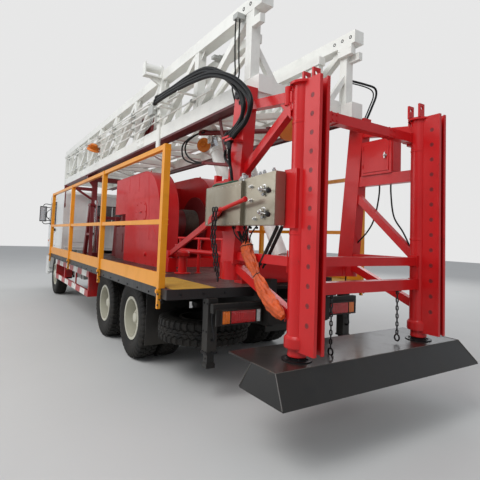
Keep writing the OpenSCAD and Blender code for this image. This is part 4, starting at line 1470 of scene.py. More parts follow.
    def chains(self) -> None:
        """Safety chains from the lower cross beam down to the base beam."""
        for name, y, drop in (("left", 0.45, 0.48), ("right", -0.43, 0.45)):
            shape = Shape().chain([(-0.02, y, 1.205), (-0.022, y, 1.205 - drop)], 0.052, 0.0065)
            shape.pipe(arc((-0.02, y, 1.212), (0, 0.022, 0), (0, 0, 0.024), 0, 360, 14), 0.006, 8)
            shape.box((-0.045, y - 0.03, 1.195), (0.005, y + 0.03, 1.2052))
            shape.pipe(arc((-0.022, y, 1.205 - drop + 0.002), (0.026, 0, 0), (0, 0, 0.03), 100, 420, 12),
                0.008, 8)
            shape.hang(f"hanging_chain_{name}", DARK_STEEL, "rig", "rod_dark")

    def far_side(self) -> None:
        """Door, hinges, handle and cable of the cabinet in the right frame."""
        low, high = node_box("side_cabinet")
        y = high.y + 0.002
        face = low.x
        shape = Shape().box((low.x + 0.02, low.y - 0.008, low.z + 0.02),
            (high.x - 0.02, low.y - 0.0005, high.z - 0.02))
        shape.box((low.x + 0.03, high.y - 0.0005, low.z + 0.03),
            (high.x - 0.03, high.y + 0.008, high.z - 0.03))
        for z in (low.z + 0.08, high.z - 0.1):
            shape.rod((high.x - 0.028, high.y + 0.012, z), (high.x - 0.028, high.y + 0.012, z + 0.05), 0.007,
                10)
        shape.box((face - 0.008, low.y + 0.02, low.z + 0.02), (face - 0.0005, high.y - 0.02, high.z - 0.02))
        shape.hang("cabinet_doors", RED, "rig", "rig_red", 0.002)
        knob = Shape().turned((low.x + 0.07, y + 0.007, (low.z + high.z) / 2), LEFT,
            [(0, 0.02), (0.008, 0.02), (0.01, 0.012), (0.026, 0.012), (0.03, 0.008)], 16)
        knob.box((low.x + 0.062, y + 0.02, (low.z + high.z) / 2 - 0.035),
            (low.x + 0.078, y + 0.03, (low.z + high.z) / 2 + 0.035))
        knob.hang("cabinet_latch", BRIGHT, "rig", "rod_chrome", 0.002)
        gland = Shape()
        for x, way in ((low.x + 0.08, -1), (low.x + 0.24, 1)):
            gland.turned((x, low.y + 0.06, low.z + 0.001), DOWN,
                [(0, 0.017), (0.012, 0.017), (0.014, 0.013), (0.026, 0.013)], 12)
            path = [(x, low.y + 0.06, low.z - 0.02), (x, low.y + 0.06, low.z - 0.22),
                (x + 0.05 * way, low.y + 0.07, 1.95), (x + 0.16 * way, low.y + 0.06, 1.78),
                ((0.12, 0, 0.95)[way + 1], -self.leg - 0.02, (1.62, 0, 1.5)[way + 1]),
                ((0.098, 0, 1.0)[way + 1], -self.leg - 0.02, (1.5, 0, 1.16)[way + 1])]
            gland.pipe(curve(path, 8), 0.009, 8)
        gland.hang("cabinet_cables", HOSE, "rig", "rod_dark")

    def build(self) -> None:
        """Builds every piece of the frame."""
        self.flanges()
        self.collars()
        self.hole_rims()
        self.welds()
        self.gussets()
        self.hinge_pins()
        self.top_beam()
        self.chains()
        self.far_side()


@dataclass
class BaseBeam:
    """Seams and jack feet of the black base beam."""

    leg: float = 0.8
    top: float = 0.7
    low: float = 0.51
    half_top: float = 1.17
    half_low: float = 1.23
    back_top: float = -0.2
    back_low: float = -0.362
    front_top: float = 0.1
    front_low: float = 0.17

    def build(self) -> None:
        """Builds the beam's pieces."""
        seams = Shape()
        for sign in (1, -1):
            top, low = self.half_top * sign, self.half_low * sign
            seams.weld([(self.back_top, top, self.top), (self.back_low, low, self.low)], 0.005, 0.016)
            seams.weld([(self.back_top, top, self.top), (self.front_top, top, self.top)], 0.004, 0.016)
            seams.weld([(self.front_top, top, self.top), (self.front_low, low, self.low)], 0.005, 0.016)
        seams.weld([(self.back_top, -self.half_top, self.top), (self.back_top, self.half_top, self.top)],
            0.0045, 0.02)
        seams.hang("beam_seams", BEAM_SEAM, "jacks", "beam_black")
        feet = Shape()
        for y in (self.leg, -self.leg):
            feet.turned((0, y, self.top + 0.0155), UP, [(0, 0.078), (0.006, 0.078), (0.012, 0.056),
                (0.06, 0.05), (0.062, 0.046)], 32)
            for along, across in circle(6, 0.5):
                feet.bolt((0.084 * along, y + 0.084 * across, self.top + 0.015), UP, 0.009)
            feet.turned((0, y, self.top), UP, [(0, 0.125), (0.008, 0.125), (0.01, 0.122), (0.01, 0.093)], 32)
        feet.hang("jack_feet", DARK_STEEL, "jacks", "rod_dark")


@dataclass
class Console:
    """Valves, levers, seams, fittings and hose bundle of the driller's console."""

    left: Triple = (0.52, 1.18, 1.05)
    rear: Triple = (0.06, 0.519, 1.02)
    low: float = 1.765
    top: float = 2.152
    wrap_at: tuple[float, ...] = (0.0, 0.05, 0.26, 0.42, 0.5, 0.72, 0.9, 1.0)
    wrap_half: tuple[float, ...] = (0.04, 0.07, 0.066, 0.04, 0.06, 0.07, 0.056, 0.03)
    tied: tuple[float, ...] = (0.05, 0.42)
    valves: Pair = (1.87, 2.06)
    valve_station: float = 0.21

    def sheet(self) -> None:
        """Folded edges, seams and rivets of the sheet-steel box."""
        shape = Shape()
        x0, x1, y = self.left
        y += 0.0006
        for z in (self.low + 0.004, 2.138):
            shape.box((x0 + 0.004, y - 0.002, z), (x1 - 0.004, y + 0.002, z + 0.006))
        for x in (x0 + 0.002, x1 - 0.008):
            shape.box((x, y - 0.002, self.low + 0.004), (x + 0.006, y + 0.002, 2.142))
        x0, x1, y = self.rear
        for x in (x0 + 0.002, x1 - 0.01):
            shape.box((x, y - 0.002, self.low + 0.004), (x + 0.006, y + 0.002, 2.176))
        shape.box((x0 + 0.004, y - 0.002, self.low + 0.004), (x1 - 0.004, y + 0.002, self.low + 0.01))
        shape.hang("console_edges", STAINLESS, "rig", "console_steel")
        rivets = Shape()
        for i in range(9):
            x = self.left[0] + 0.03 + i * (self.left[1] - self.left[0] - 0.06) / 8
            for z in (self.low + 0.018, 2.128):
                rivets.turned((x, self.left[2] - 0.0005, z), LEFT,
                    [(0, 0.006), (0.002, 0.005), (0.003, 0.001)], 10)
        rivets.hang("console_rivets", BRIGHT, "rig", "console_steel")
        hang = Shape()
        for x in (self.left[0] + 0.1, self.left[1] - 0.14):
            hang.box((x, 0.9, self.low - 0.05), (x + 0.05, 1.0, self.low + 0.002))
            hang.bar((x + 0.025, 0.9, self.low - 0.04), (x + 0.025, 0.86, self.low - 0.22), 0.04, 0.012,
                LEFT)
        hang.box((-0.055, 0.868, 1.745), (0.095, 0.905, 2.225))
        hang.hang("console_hangers", RED, "rig", "rig_red", 0.002)

    def valve(self, shape: Shape, knobs: Shape, z: float) -> None:
        """Adds one lever valve with its ports.

        Args:
            shape: Shape of the bright parts.
            knobs: Shape of the black parts.
            z: Height of the valve.
        """
        x, y = self.valve_station, self.rear[2]
        shape.turned((x, y - 0.001, z), LEFT, [(0, 0.046), (0.005, 0.046), (0.006, 0.036), (0.022, 0.034),
            (0.026, 0.026), (0.044, 0.024), (0.046, 0.016), (0.062, 0.014), (0.065, 0.008)], 28)
        for along, up in circle(6):
            shape.bolt((x + 0.041 * along, y + 0.005, z + 0.041 * up), LEFT, 0.004)
        for dx, dz in ((0.05, 0.006), (-0.046, 0.02), (0.0, -0.05)):
            way = Vector((dx, 0, dz)).normalized()
            shape.turned(Vector((x, y + 0.017, z)) + way * 0.026, way,
                [(0, 0.01), (0.012, 0.01), (0.012, 0.013), (0.022, 0.013), (0.023, 0.008), (0.03, 0.008)], 6)
        tip = (x - 0.125, y + 0.062, z - 0.02)
        shape.pipe([(x, y + 0.055, z), (x - 0.03, y + 0.066, z - 0.004), tip], 0.0055, 8)
        knobs.turned(Vector(tip) + Vector((0.004, 0, 0)), (-0.125, 0.0, -0.02),
            [(0, 0.008), (0.004, 0.016), (0.018, 0.022), (0.032, 0.019), (0.042, 0.006)], 18)

    def build(self) -> None:
        """Builds the console's pieces."""
        self.sheet()
        bright, knobs = Shape(), Shape()
        for z in self.valves:
            self.valve(bright, knobs, z)
        y = self.rear[2]
        for x, z in ((0.4, 2.1), (0.4, 1.98), (0.33, 1.82)):
            bright.turned((x, y - 0.001, z), LEFT, [(0, 0.02), (0.004, 0.02), (0.006, 0.015), (0.018, 0.015),
                (0.02, 0.009), (0.03, 0.009)], 6)
        bright.hang("console_valves", BRIGHT, "rig", "rod_chrome")
        knobs.hang("console_knobs", PLASTIC, "rig", "mirror_black")
        self.top_gear()
        self.bundle()

    def top_gear(self) -> None:
        """Motor, filter, manifold and green hose that lie on the console."""
        z = self.top
        motor = Shape().turned((0.62, 0.965, z + 0.045), UP,
            [(-0.045, 0.038), (-0.04, 0.044), (0.0, 0.044), (0.004, 0.034), (0.02, 0.03), (0.024, 0.018),
            (0.052, 0.016), (0.056, 0.006)], 20)
        for i in range(6):
            motor.turned((0.62, 0.965, z + 0.006 + 0.006 * i), UP, [(0, 0.047), (0.003, 0.047)], 20)
        motor.hang("console_motor", GREY, "rig", "ram_grey")
        block = Shape().box((0.8, 0.915, z - 0.008), (1.06, 1.02, z + 0.052))
        block.turned((0.93, 0.965, z + 0.05), UP, [(0, 0.03), (0.018, 0.03), (0.022, 0.024)], 16)
        block.box((1.075, 0.93, z - 0.008), (1.12, 1.0, z + 0.125))
        for x in (0.83, 0.9, 0.99, 1.04):
            block.bolt((x, 1.02, z + 0.02), LEFT, 0.008)
        block.hang("console_red_box", RED, "rig", "rig_red", 0.003)
        green = Shape()
        for dy, dz in ((0.0, 0.0), (0.018, 0.002), (0.034, -0.002)):
            path = [(1.1, 0.985 + dy, z + 0.012 + dz), (1.0, 1.028 + dy * 0.4, z + 0.022 + dz),
                (0.86, 1.032 + dy * 0.3, z + 0.014), (0.72, 1.005 + dy, z + 0.022 + dz),
                (0.68, 0.99, z + 0.03)]
            green.pipe(curve(path, 6), 0.0095, 8)
        green.hang("console_green_hose", GREEN, "rig", "rig_red")
        fittings = Shape()
        for x, y in ((0.46, 0.97), (0.36, 0.96), (0.28, 0.975), (0.16, 0.965)):
            top = 2.185 + (0.46 - x) * 0.05
            fittings.turned((x, y, top - 0.002), UP, [(0, 0.019), (0.01, 0.019), (0.012, 0.013),
                (0.022, 0.013), (0.022, 0.017), (0.034, 0.017), (0.036, 0.01), (0.048, 0.01)], 6)
        fittings.turned((0.54, 1.0, 2.165), UP, [(0, 0.022), (0.02, 0.022), (0.022, 0.03), (0.05, 0.03),
            (0.056, 0.024), (0.066, 0.01)], 20)
        fittings.hang("console_fittings", BRIGHT, "rig", "rod_chrome")

    def fold(self, route: list[Vector], i: int, t: float, grow: float = 1.0) -> list[Vector]:
        """One creased cut through the orange wrapping.

        Args:
            route: Middle line of the wrapping.
            i: Point of the middle line.
            t: Share of the way along it, which gives the width and the creases.
            grow: Size against the wrapping itself.

        Returns:
            Points around the cut.
        """
        way = (route[min(i + 1, len(route) - 1)] - route[max(i - 1, 0)]).normalized()
        flat = Vector(LEFT)
        side = way.cross(flat).normalized()
        wide = float(np.interp(t, self.wrap_at, self.wrap_half)) * grow
        ring = []
        for k in range(40):
            turn = TAU * k / 40
            crease = (1 + 0.1 * math.sin(5 * turn + 7 * t) + 0.07 * math.sin(9 * turn - 19 * t)
                + 0.05 * math.sin(3 * turn + 43 * t) + 0.03 * math.sin(14 * turn + 61 * t))
            ring.append(route[i] + (side * math.cos(turn) + flat * (0.6 * math.sin(turn))) * (wide * crease))
        return ring

    def bundle(self) -> None:
        """Hoses out of the console's underside and their orange wrapping down to the frame."""
        hoses = Shape()
        for i in range(9):
            t = i / 8
            start = (0.8 - 0.36 * t, 0.95 + 0.03 * math.sin(3 * i), self.low + 0.004)
            middle = (0.73 - 0.2 * t, 0.945 + 0.02 * math.cos(2 * i), self.low - 0.085)
            end = (0.66 - 0.06 * t, 0.9 + 0.03 * math.sin(2 * i), self.low - 0.175)
            hoses.turned(Vector(start) + Vector((0, 0, -0.012)), DOWN,
                [(0, 0.011), (0.018, 0.011), (0.02, 0.008)], 6)
            hoses.pipe(curve([start, middle, end], 6), 0.0065, 7)
        hoses.hang("console_hoses", HOSE, "rig", "rod_dark")
        route = curve([(0.64, 0.905, 1.62), (0.6, 0.9, 1.5), (0.5, 0.9, 1.385), (0.4, 0.905, 1.27),
            (0.26, 0.91, 1.155), (0.15, 0.91, 1.085), (0.06, 0.905, 1.03)], 16)
        last = len(route) - 1
        wrap = Shape().rings([self.fold(route, i, i / last) for i in range(last + 1)])
        wrap.hang("hose_wrap", WRAP, "rig", "rig_red", smooth=50)
        ties = Shape()
        for t in self.tied:
            i = round(t * last)
            ties.rings([self.fold(route, i + step, t, grow) for step, grow in ((0, 0.9), (0, 1.07),
                (1, 1.07), (1, 0.9))])
        ties.hang("wrap_ties", PLASTIC, "rig", "mirror_black")
        strut = Shape()
        for dy in (0.0, 0.05):
            strut.rod((0.235, 0.8 + dy, 1.765), (0.475, 0.8 + dy, 1.42), 0.016, 12, 0.003)
            strut.rod((0.35, 0.8 + dy, 1.6), (0.5, 0.8 + dy, 1.385), 0.009, 10)
        strut.hang("console_struts", PLASTIC, "rig", "mirror_black")


@dataclass
class BrakeLever:
    """Red brake lever with its chain, pedestal and linkage tubes."""

    pivot: Triple = (3.05, 0.62, 1.385)
    elbow: Triple = (1.21, 1.02, 1.775)
    head: Triple = (0.815, 1.085, 1.905)
    grip: Triple = (0.36, 1.12, 1.978)
    deck: float = 1.1305

    def build(self) -> None:
        """Builds the lever and what carries it."""
        lever = Shape()
        pivot, elbow, head = Vector(self.pivot), Vector(self.elbow), Vector(self.head)
        lever.bar(pivot, elbow, 0.028, 0.075, UP)
        lever.plate([elbow + Vector((0.02, -0.012, -0.04)), elbow + Vector((0.02, -0.012, 0.036)),
            head + Vector((0.0, -0.012, 0.034)), head + Vector((-0.05, -0.012, 0.018)),
            head + Vector((0.03, -0.012, -0.045))], (0, 0.024, 0))
        lever.rod(head + Vector((0.03, 0, 0)), self.grip, 0.0185, 16, 0.004)
        lever.turned(self.grip, Vector(self.grip) - head, [
            (-0.002, 0.021), (0.006, 0.024), (0.022, 0.024), (0.028, 0.018)], 16)
        lever.turned(pivot + Vector((0, -0.035, 0)), LEFT, [(0, 0.048), (0.07, 0.048)], 24)
        lever.box(pivot.lerp(elbow, 0.28) + Vector((-0.05, -0.02, 0.024)),
            pivot.lerp(elbow, 0.28) + Vector((0.05, 0.02, 0.044)))
        lever.hang("brake_lever", RED, "rig", "rig_red", 0.003)
        chain = Shape()
        for side, low in ((0.0, 1.22), (0.05, 1.3)):
            chain.chain([head + Vector((0.03 + side, 0.03, 0.03)),
                head + Vector((0.02 + side, 0.045, -0.26)), (0.8 + side, 1.11, 1.45),
                (0.785 + side, 1.1, low)], 0.06, 0.0075)
        chain.hang("lever_chain", DARK_STEEL, "rig", "rod_dark")
        self.carriers()

    def carriers(self) -> None:
        """Pedestals, footing and tubes on the deck."""
        x, y, z = self.pivot
        deck = self.deck
        frame = Shape().rod((2.72, 0.56, deck), (2.72, 0.56, 1.44), 0.062, 24)
        frame.turned((2.72, 0.56, deck), UP, [(0, 0.115), (0.014, 0.115), (0.02, 0.07)], 24)
        frame.turned((2.72, 0.56, 1.36), UP, [(0, 0.062), (0.01, 0.088), (0.06, 0.092), (0.085, 0.074),
            (0.1, 0.03)], 24)
        for dy in (-0.045, 0.045):
            frame.plate([(x - 0.05, y + dy, z - 0.06), (x + 0.07, y + dy, z - 0.06),
                (x + 0.04, y + dy, z + 0.05), (x - 0.03, y + dy, z + 0.05)],
                (0, -0.012 if dy > 0 else 0.012, 0))
        frame.box((x - 0.1, y - 0.07, deck), (x + 0.12, y + 0.06, z - 0.055))
        frame.bar((x, 0.56, z - 0.03), (2.7, 0.56, 1.4), 0.05, 0.05)
        for height, size in ((1.43, 0.036), (1.62, 0.02)):
            frame.rod((3.4, 0.33, height), (2.03, 0.3, height), size, 16)
        for x0 in (3.35, 2.72, 2.06):
            frame.rod((x0, 0.315, deck), (x0, 0.315, 1.63), 0.024, 14, 0.004)
            frame.turned((x0, 0.315, deck), UP, [(0, 0.05), (0.008, 0.05), (0.01, 0.024)], 16)
        frame.hang("brake_stand", RED, "rig", "rig_red", 0.002)
        foot = Shape().box((1.86, -0.1, deck), (2.16, 0.14, deck + 0.16))
        foot.box((1.82, -0.14, deck), (2.2, 0.18, deck + 0.016))
        low = [(1.9, -0.06), (2.12, -0.06), (2.12, 0.1), (1.9, 0.1)]
        top = [(1.96, -0.01), (2.06, -0.01), (2.06, 0.05), (1.96, 0.05)]
        foot.rings([[(a, b, deck + 0.15) for a, b in low], [(a, b, 1.72) for a, b in top]])
        foot.box((1.93, -0.04, 1.72), (2.09, 0.08, 1.74))
        for a, b in ((1.84, -0.12), (2.18, -0.12), (1.84, 0.16), (2.18, 0.16)):
            foot.bolt((a + (0.01 if a < 2 else -0.01), b, deck + 0.016), UP, 0.01)
        foot.hang("rotary_footing", RED, "rig", "rig_red", 0.003)


@dataclass
class Mast:
    """Painted underside shade strips, gussets, pipes, panel, lamps, hanging tank and right cable of the
    mast.
    """

    half: float = 0.755
    low: float = 3.11
    chord: float = 0.18
    top_low: float = 4.02
    post: float = 0.11
    posts: tuple[float, ...] = (0.945, 2.155, 3.365, 4.575, 5.785, 6.995, 8.205, 9.415, 10.625)
    front: float = 11.35
    rest: Pair = (8.13, 8.28)
    manifold_at: float = 3.56
    tank_seat: Triple = (2.93, 0.2, 3.035)
    tank_radius: float = 0.105

    def underside_shade_strips(self) -> None:
        """Maroon strips under the two lower chords: painted shade with a painted red reflection, standing
        for the chords' undersides.
        """
        shape = Shape()
        # Maroon plates and lips under the chords: painted shade and painted red reflection of the
        # undersides.
        for start, end in ((0.95, self.rest[0]), (self.rest[1], self.front - 0.02)):
            shape.box((start, self.half - self.chord + 0.004, self.low - 0.012),
                (end, self.half - 0.004, self.low + 0.001))
            for y in (self.half - self.chord + 0.004, self.half - 0.016):
                shape.box((start, y, self.low - 0.03), (end, y + 0.012, self.low - 0.011))
        shape.join(shape.mirrored())
        shape.hang("mast_underside_shade_strips", UNDERSIDE_SHADE_MAROON, "mast", "rig_red", 0.0015)

    def gussets(self) -> None:
        """Gusset plates with weld beads where posts and chords meet."""
        shape, welds = Shape(), Shape()
        y = self.half - 0.001
        z0, z1 = self.low + self.chord, self.top_low
        for x in self.posts:
            h = self.post / 2
            for sign in (1, -1):
                if sign < 0 and x < 1:
                    continue
                for z, way in ((z0, 1), (z1, -1)):
                    shape.plate([(x + sign * h, y - 0.05, z - way * 0.002),
                        (x + sign * (h + 0.1), y - 0.05, z - way * 0.002),
                        (x + sign * h, y - 0.05, z + way * 0.1)], (0, 0.008, 0))
            for z in (z0 + 0.001, z1 - 0.001):
                welds.weld([(x - h, y, z), (x + h, y, z)], 0.005, 0.014)
        for x in (4.2, 8.8):
            shape.box((x - 0.16, y, self.low + 0.02), (x + 0.16, y + 0.008, self.low + self.chord - 0.02))
            for dx in (-0.13, -0.07, 0.07, 0.13):
                for z in (self.low + 0.05, self.low + 0.13):
                    shape.bolt((x + dx, y + 0.008, z), LEFT, 0.01)
        shape.join(shape.mirrored())
        welds.join(welds.mirrored())
        shape.hang("mast_gussets", WHITE, "mast", "mast_white", 0.001)
        welds.hang("mast_welds", WHITE, "mast", "mast_white")

    def pipes(self) -> None:
        """Air and hydraulic pipes clamped along the left side."""
        y = self.half + 0.045
        pipes, clamps = Shape(), Shape()
        runs = (((2.25, 3.71), (11.1, 3.965), 0.014), ((2.25, 3.66), (11.1, 3.93), 0.01),
            ((2.5, 3.57), (10.7, 3.84), 0.017), ((3.2, 3.47), (7.2, 3.6), 0.012),
            ((1.62, 3.376), (10.9, 3.4), 0.012))
        for (x0, z0), (x1, z1), radius in runs:
            pipes.pipe([(x0, y, z0), (x1, y, z1)], radius, 12)
            for end, way in (((x0, y, z0), -1), ((x1, y, z1), 1)):
                pipes.turned(end, (way, 0, 0), [(-0.03, radius + 0.001), (-0.028, radius + 0.008),
                    (0.0, radius + 0.008), (0.004, radius)], 6)
            for x in self.posts:
                if x0 + 0.1 < x < x1 - 0.05:
                    z = z0 + (z1 - z0) * (x - x0) / (x1 - x0)
                    clamps.box((x - 0.022, self.half - 0.002, z - radius - 0.006),
                        (x + 0.022, y + radius + 0.006, z + radius + 0.006))
                    clamps.bolt((x, y + radius + 0.006, z), LEFT, 0.006)
        pipes.hang("mast_pipes", WHITE, "mast", "mast_white")
        clamps.hang("pipe_clamps", GREY, "mast", "mast_white", 0.003)

    def manifold(self) -> None:
        """Valve block on the guide plate with its elbows and thin hoses."""
        block = Shape()
        x, y = self.manifold_at, self.half + 0.01
        block.box((x - 0.1, self.half - 0.002, 3.52), (x + 0.1, y + 0.075, 3.66))
        for dx in (-0.06, 0.0, 0.06):
            for z, way in ((3.66, 1), (3.52, -1)):
                block.turned((x + dx, y + 0.04, z), (0, 0, way),
                    [(0, 0.016), (0.01, 0.016), (0.012, 0.011), (0.034, 0.011), (0.036, 0.015),
                    (0.05, 0.015)], 6)
        block.hang("mast_manifold", GREY, "mast", "mast_white", 0.002)
        hoses = Shape()
        for i, dx in enumerate((-0.06, 0.0, 0.06)):
            hoses.pipe(curve([(x + dx, y + 0.04, 3.47), (x + dx + 0.03, y + 0.06 + 0.01 * i, 3.38),
                (x + dx + 0.25, y + 0.05, 3.33), (x + dx + 0.55, y + 0.025, 3.36)], 6), 0.007, 7)
        hoses.hang("manifold_hoses", GREY, "mast", "mast_white")

    def panel(self) -> None:
        """Dark red stiffened panel inside the left side."""
        shape = Shape().box((4.02, 0.6, 3.34), (4.9, 0.608, 3.7))
        for x in (4.02, 4.3, 4.6, 4.888):
            shape.box((x, 0.607, 3.34), (x + 0.012, 0.643, 3.7))
        for z in (3.34, 3.688):
            shape.box((4.02, 0.607, z), (4.9, 0.643, z + 0.012))
        for x0, z0, x1, z1 in ((4.12, 3.66, 4.26, 3.38), (4.34, 3.66, 4.26, 3.38), (4.62, 3.36, 4.82, 3.66)):
            shape.bar((x0, 0.622, z0), (x1, 0.622, z1), 0.02, 0.035)
        for z in (3.39, 3.61):
            shape.box((4.53, 0.6, z), (4.62, 0.66, z + 0.04))
        shape.hang("mast_panel", DARK_RED, "mast", "rig_red", 0.001)

    def lamp(self, name: str, seat: Point, way: Point, finish: Finish, lens: Finish, size: float) -> None:
        """Builds one round flood lamp with guard ribs.

        Args:
            name: Base name of the pieces.
            seat: Back of the lamp's shell.
            way: Direction that it shines in.
            finish: Finish of the shell.
            lens: Finish of the lens.
            size: Radius of the rim.
        """
        shell = Shape().turned(seat, way, [(0, size * 0.3), (size * 0.05, size * 0.42),
            (size * 0.5, size * 0.72), (size * 0.95, size * 0.94), (size * 1.0, size * 1.0),
            (size * 1.12, size * 1.0), (size * 1.14, size * 0.93)], 28)
        seat, way = Vector(seat), Vector(way).normalized()
        for i in range(8):
            shell.turned(seat + way * size * (0.12 + 0.07 * i), way,
                [(0, size * (0.56 + 0.06 * i)), (size * 0.02, size * (0.56 + 0.06 * i))], 28)
        shell.hang(f"{name}_shell", finish, "mast", "railing_yellow")
        glass = Shape().turned(seat + way * size * 1.08, way,
            [(0, size * 0.94), (size * 0.02, size * 0.9), (size * 0.08, size * 0.5), (size * 0.1, 0.0)], 28)
        glass.hang(f"{name}_lens", lens, "mast", "window_glass")

    def lamps(self) -> None:
        """Orange flood lamps of the mast."""
        self.lamp("mast_lamp_side", (7.0, 0.87, 3.66), (0.45, 0.12, -0.85), ORANGE, LAMP_CLEAR, 0.14)
        bracket = Shape().bar((7.0, 0.75, 3.62), (7.03, 0.87, 3.62), 0.05, 0.012, AHEAD)
        bracket.bar((7.03, 0.87, 3.55), (7.03, 0.87, 3.69), 0.04, 0.012)
        bracket.bolt((7.03, 0.876, 3.62), LEFT, 0.01)
        bracket.hang("mast_lamp_bracket", GREY, "mast", "mast_white", 0.001)
        self.lamp("mast_lamp_low", (1.3, -0.04, 2.97), (-1.0, 0.25, -0.2), ORANGE, ORANGE, 0.13)
        hook = Shape().bar((1.32, -0.04, 2.97), (1.32, -0.04, 3.34), 0.05, 0.014, LEFT)
        hook.box((0.93, -0.07, 3.335), (1.36, 0.0, 3.349))
        hook.turned((1.32, -0.04, 2.97), AHEAD, [(-0.03, 0.05), (0.02, 0.05), (0.03, 0.03)], 20)
        hook.hang("low_lamp_bracket", GREY, "mast", "mast_white", 0.001)

    def tank(self) -> None:
        """White cylinder with an orange end that hangs under the bracing."""
        seat, way = Vector(self.tank_seat), Vector((0.6, -0.8, 0.0))
        radius, side = self.tank_radius, Vector((0.8, 0.6, 0.0))
        tank = Shape().turned(seat, way, [(0.0, radius * 0.9), (0.01, radius), (0.4, radius),
            (0.42, radius * 0.86), (0.435, radius * 0.4), (0.44, 0.0)], 36)
        for along in (0.08, 0.34):
            band = seat + way * along
            tank.turned(band, way, [(0, radius + 0.001), (0.0, radius + 0.005), (0.03, radius + 0.005),
                (0.03, radius + 0.001)], 36)
            for across in (-0.08, 0.08):
                foot = band + way * 0.015 + side * across
                tank.bar(foot + Vector((0, 0, 0.06)), foot + Vector((0, 0, 0.118)), 0.03, 0.01)
        tank.hang("hanging_tank", WHITE, "mast", "mast_white")
        end = Shape().turned(seat, -way, [(-0.01, radius + 0.004), (0.014, radius + 0.004), (0.018, radius),
            (0.02, radius * 0.62), (0.012, radius * 0.55), (0.012, radius * 0.3), (0.026, radius * 0.26),
            (0.028, 0.0)], 36)
        for across, up in circle(8):
            end.bolt(seat - way * 0.018 + side * (across * radius * 0.82) + Vector(
                (0, 0, up * radius * 0.82)), -way, 0.006)
        end.hang("hanging_tank_end", ORANGE, "mast", "railing_yellow")

    def chord_ends(self) -> None:
        """Bolt holes and boxes at the rear of the top chords, and the cables on the right."""
        shape = Shape()
        for x in (0.8, 0.93, 1.06):
            for side in (1, -1):
                for y, way in ((self.half - 0.0005, side), (0.605 + 0.0005, -side)):
                    shape.turned((x, side * y, 4.1), (0, way, 0),
                        [(0, 0.022), (0.003, 0.02), (0.003, 0.012), (-0.02, 0.011), (-0.02, 0.0)], 18)
        shape.hang("chord_holes", DARK_STEEL, "mast", "rod_dark")
        box = Shape().box((0.78, -0.66, 3.9), (1.00, -0.6, 4.021))
        box.box((1.45, -0.7, 3.93), (1.62, -0.62, 4.021))
        for x in (0.8, 0.98):
            box.bolt((x, -0.6, 3.98), LEFT, 0.008)
        box.hang("chord_boxes", WHITE, "mast", "mast_white", 0.003)
        cable = Shape().pipe(curve([(0.96, -0.775, 3.66), (0.95, -1.08, 3.672), (0.945, -1.235, 3.661),
            (0.945, -1.262, 3.569), (0.945, -1.185, 3.402), (0.93, -1.06, 3.2), (0.9, -0.95, 3.1)], 8),
            0.014, 10)
        cable.pipe(curve([(0.98, -0.775, 3.64), (0.97, -1.05, 3.65), (0.965, -1.2, 3.63),
            (0.965, -1.23, 3.55), (0.965, -1.16, 3.4), (0.95, -1.04, 3.2), (0.93, -0.94, 3.09)], 8), 0.008,
            8)
        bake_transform(cable.hang("far_mast_cable", HOSE, "", "rod_dark"), "mast", "rig",
                 start=at(0.96, -0.775, 3.66), end=at(0.9, -0.95, 3.1))
        clamp = Shape().box((0.93, -0.8, 3.62), (1.01, -0.752, 3.69))
        clamp.hang("far_cable_clamp", GREY, "mast", "mast_white", 0.002)
        seat = Shape().box((0.87, -0.965, 3.02), (0.95, -0.898, 3.11))
        seat.hang("far_cable_seat", RED, "rig", "rig_red", 0.002)

    def slide_pads(self) -> None:
        """Slide pads between the two sections."""
        pads = Shape()
        for x in (1.9, 4.2, 6.6, 9.0, 11.0):
            for z in (3.32, 3.88):
                pads.box((x - 0.06, 0.546, z), (x + 0.06, 0.6, z + 0.05))
                pads.box((x - 0.04, 0.598, z + 0.005), (x + 0.04, 0.66, z + 0.045))
        pads.join(pads.mirrored())
        pads.hang("slide_pads", GREY, "mast", "mast_white", 0.002)

    def build(self) -> None:
        """Builds every piece of the mast."""
        self.underside_shade_strips()
        self.gussets()
        self.pipes()
        self.manifold()
        self.panel()
        self.lamps()
        self.tank()
        self.chord_ends()
        self.slide_pads()


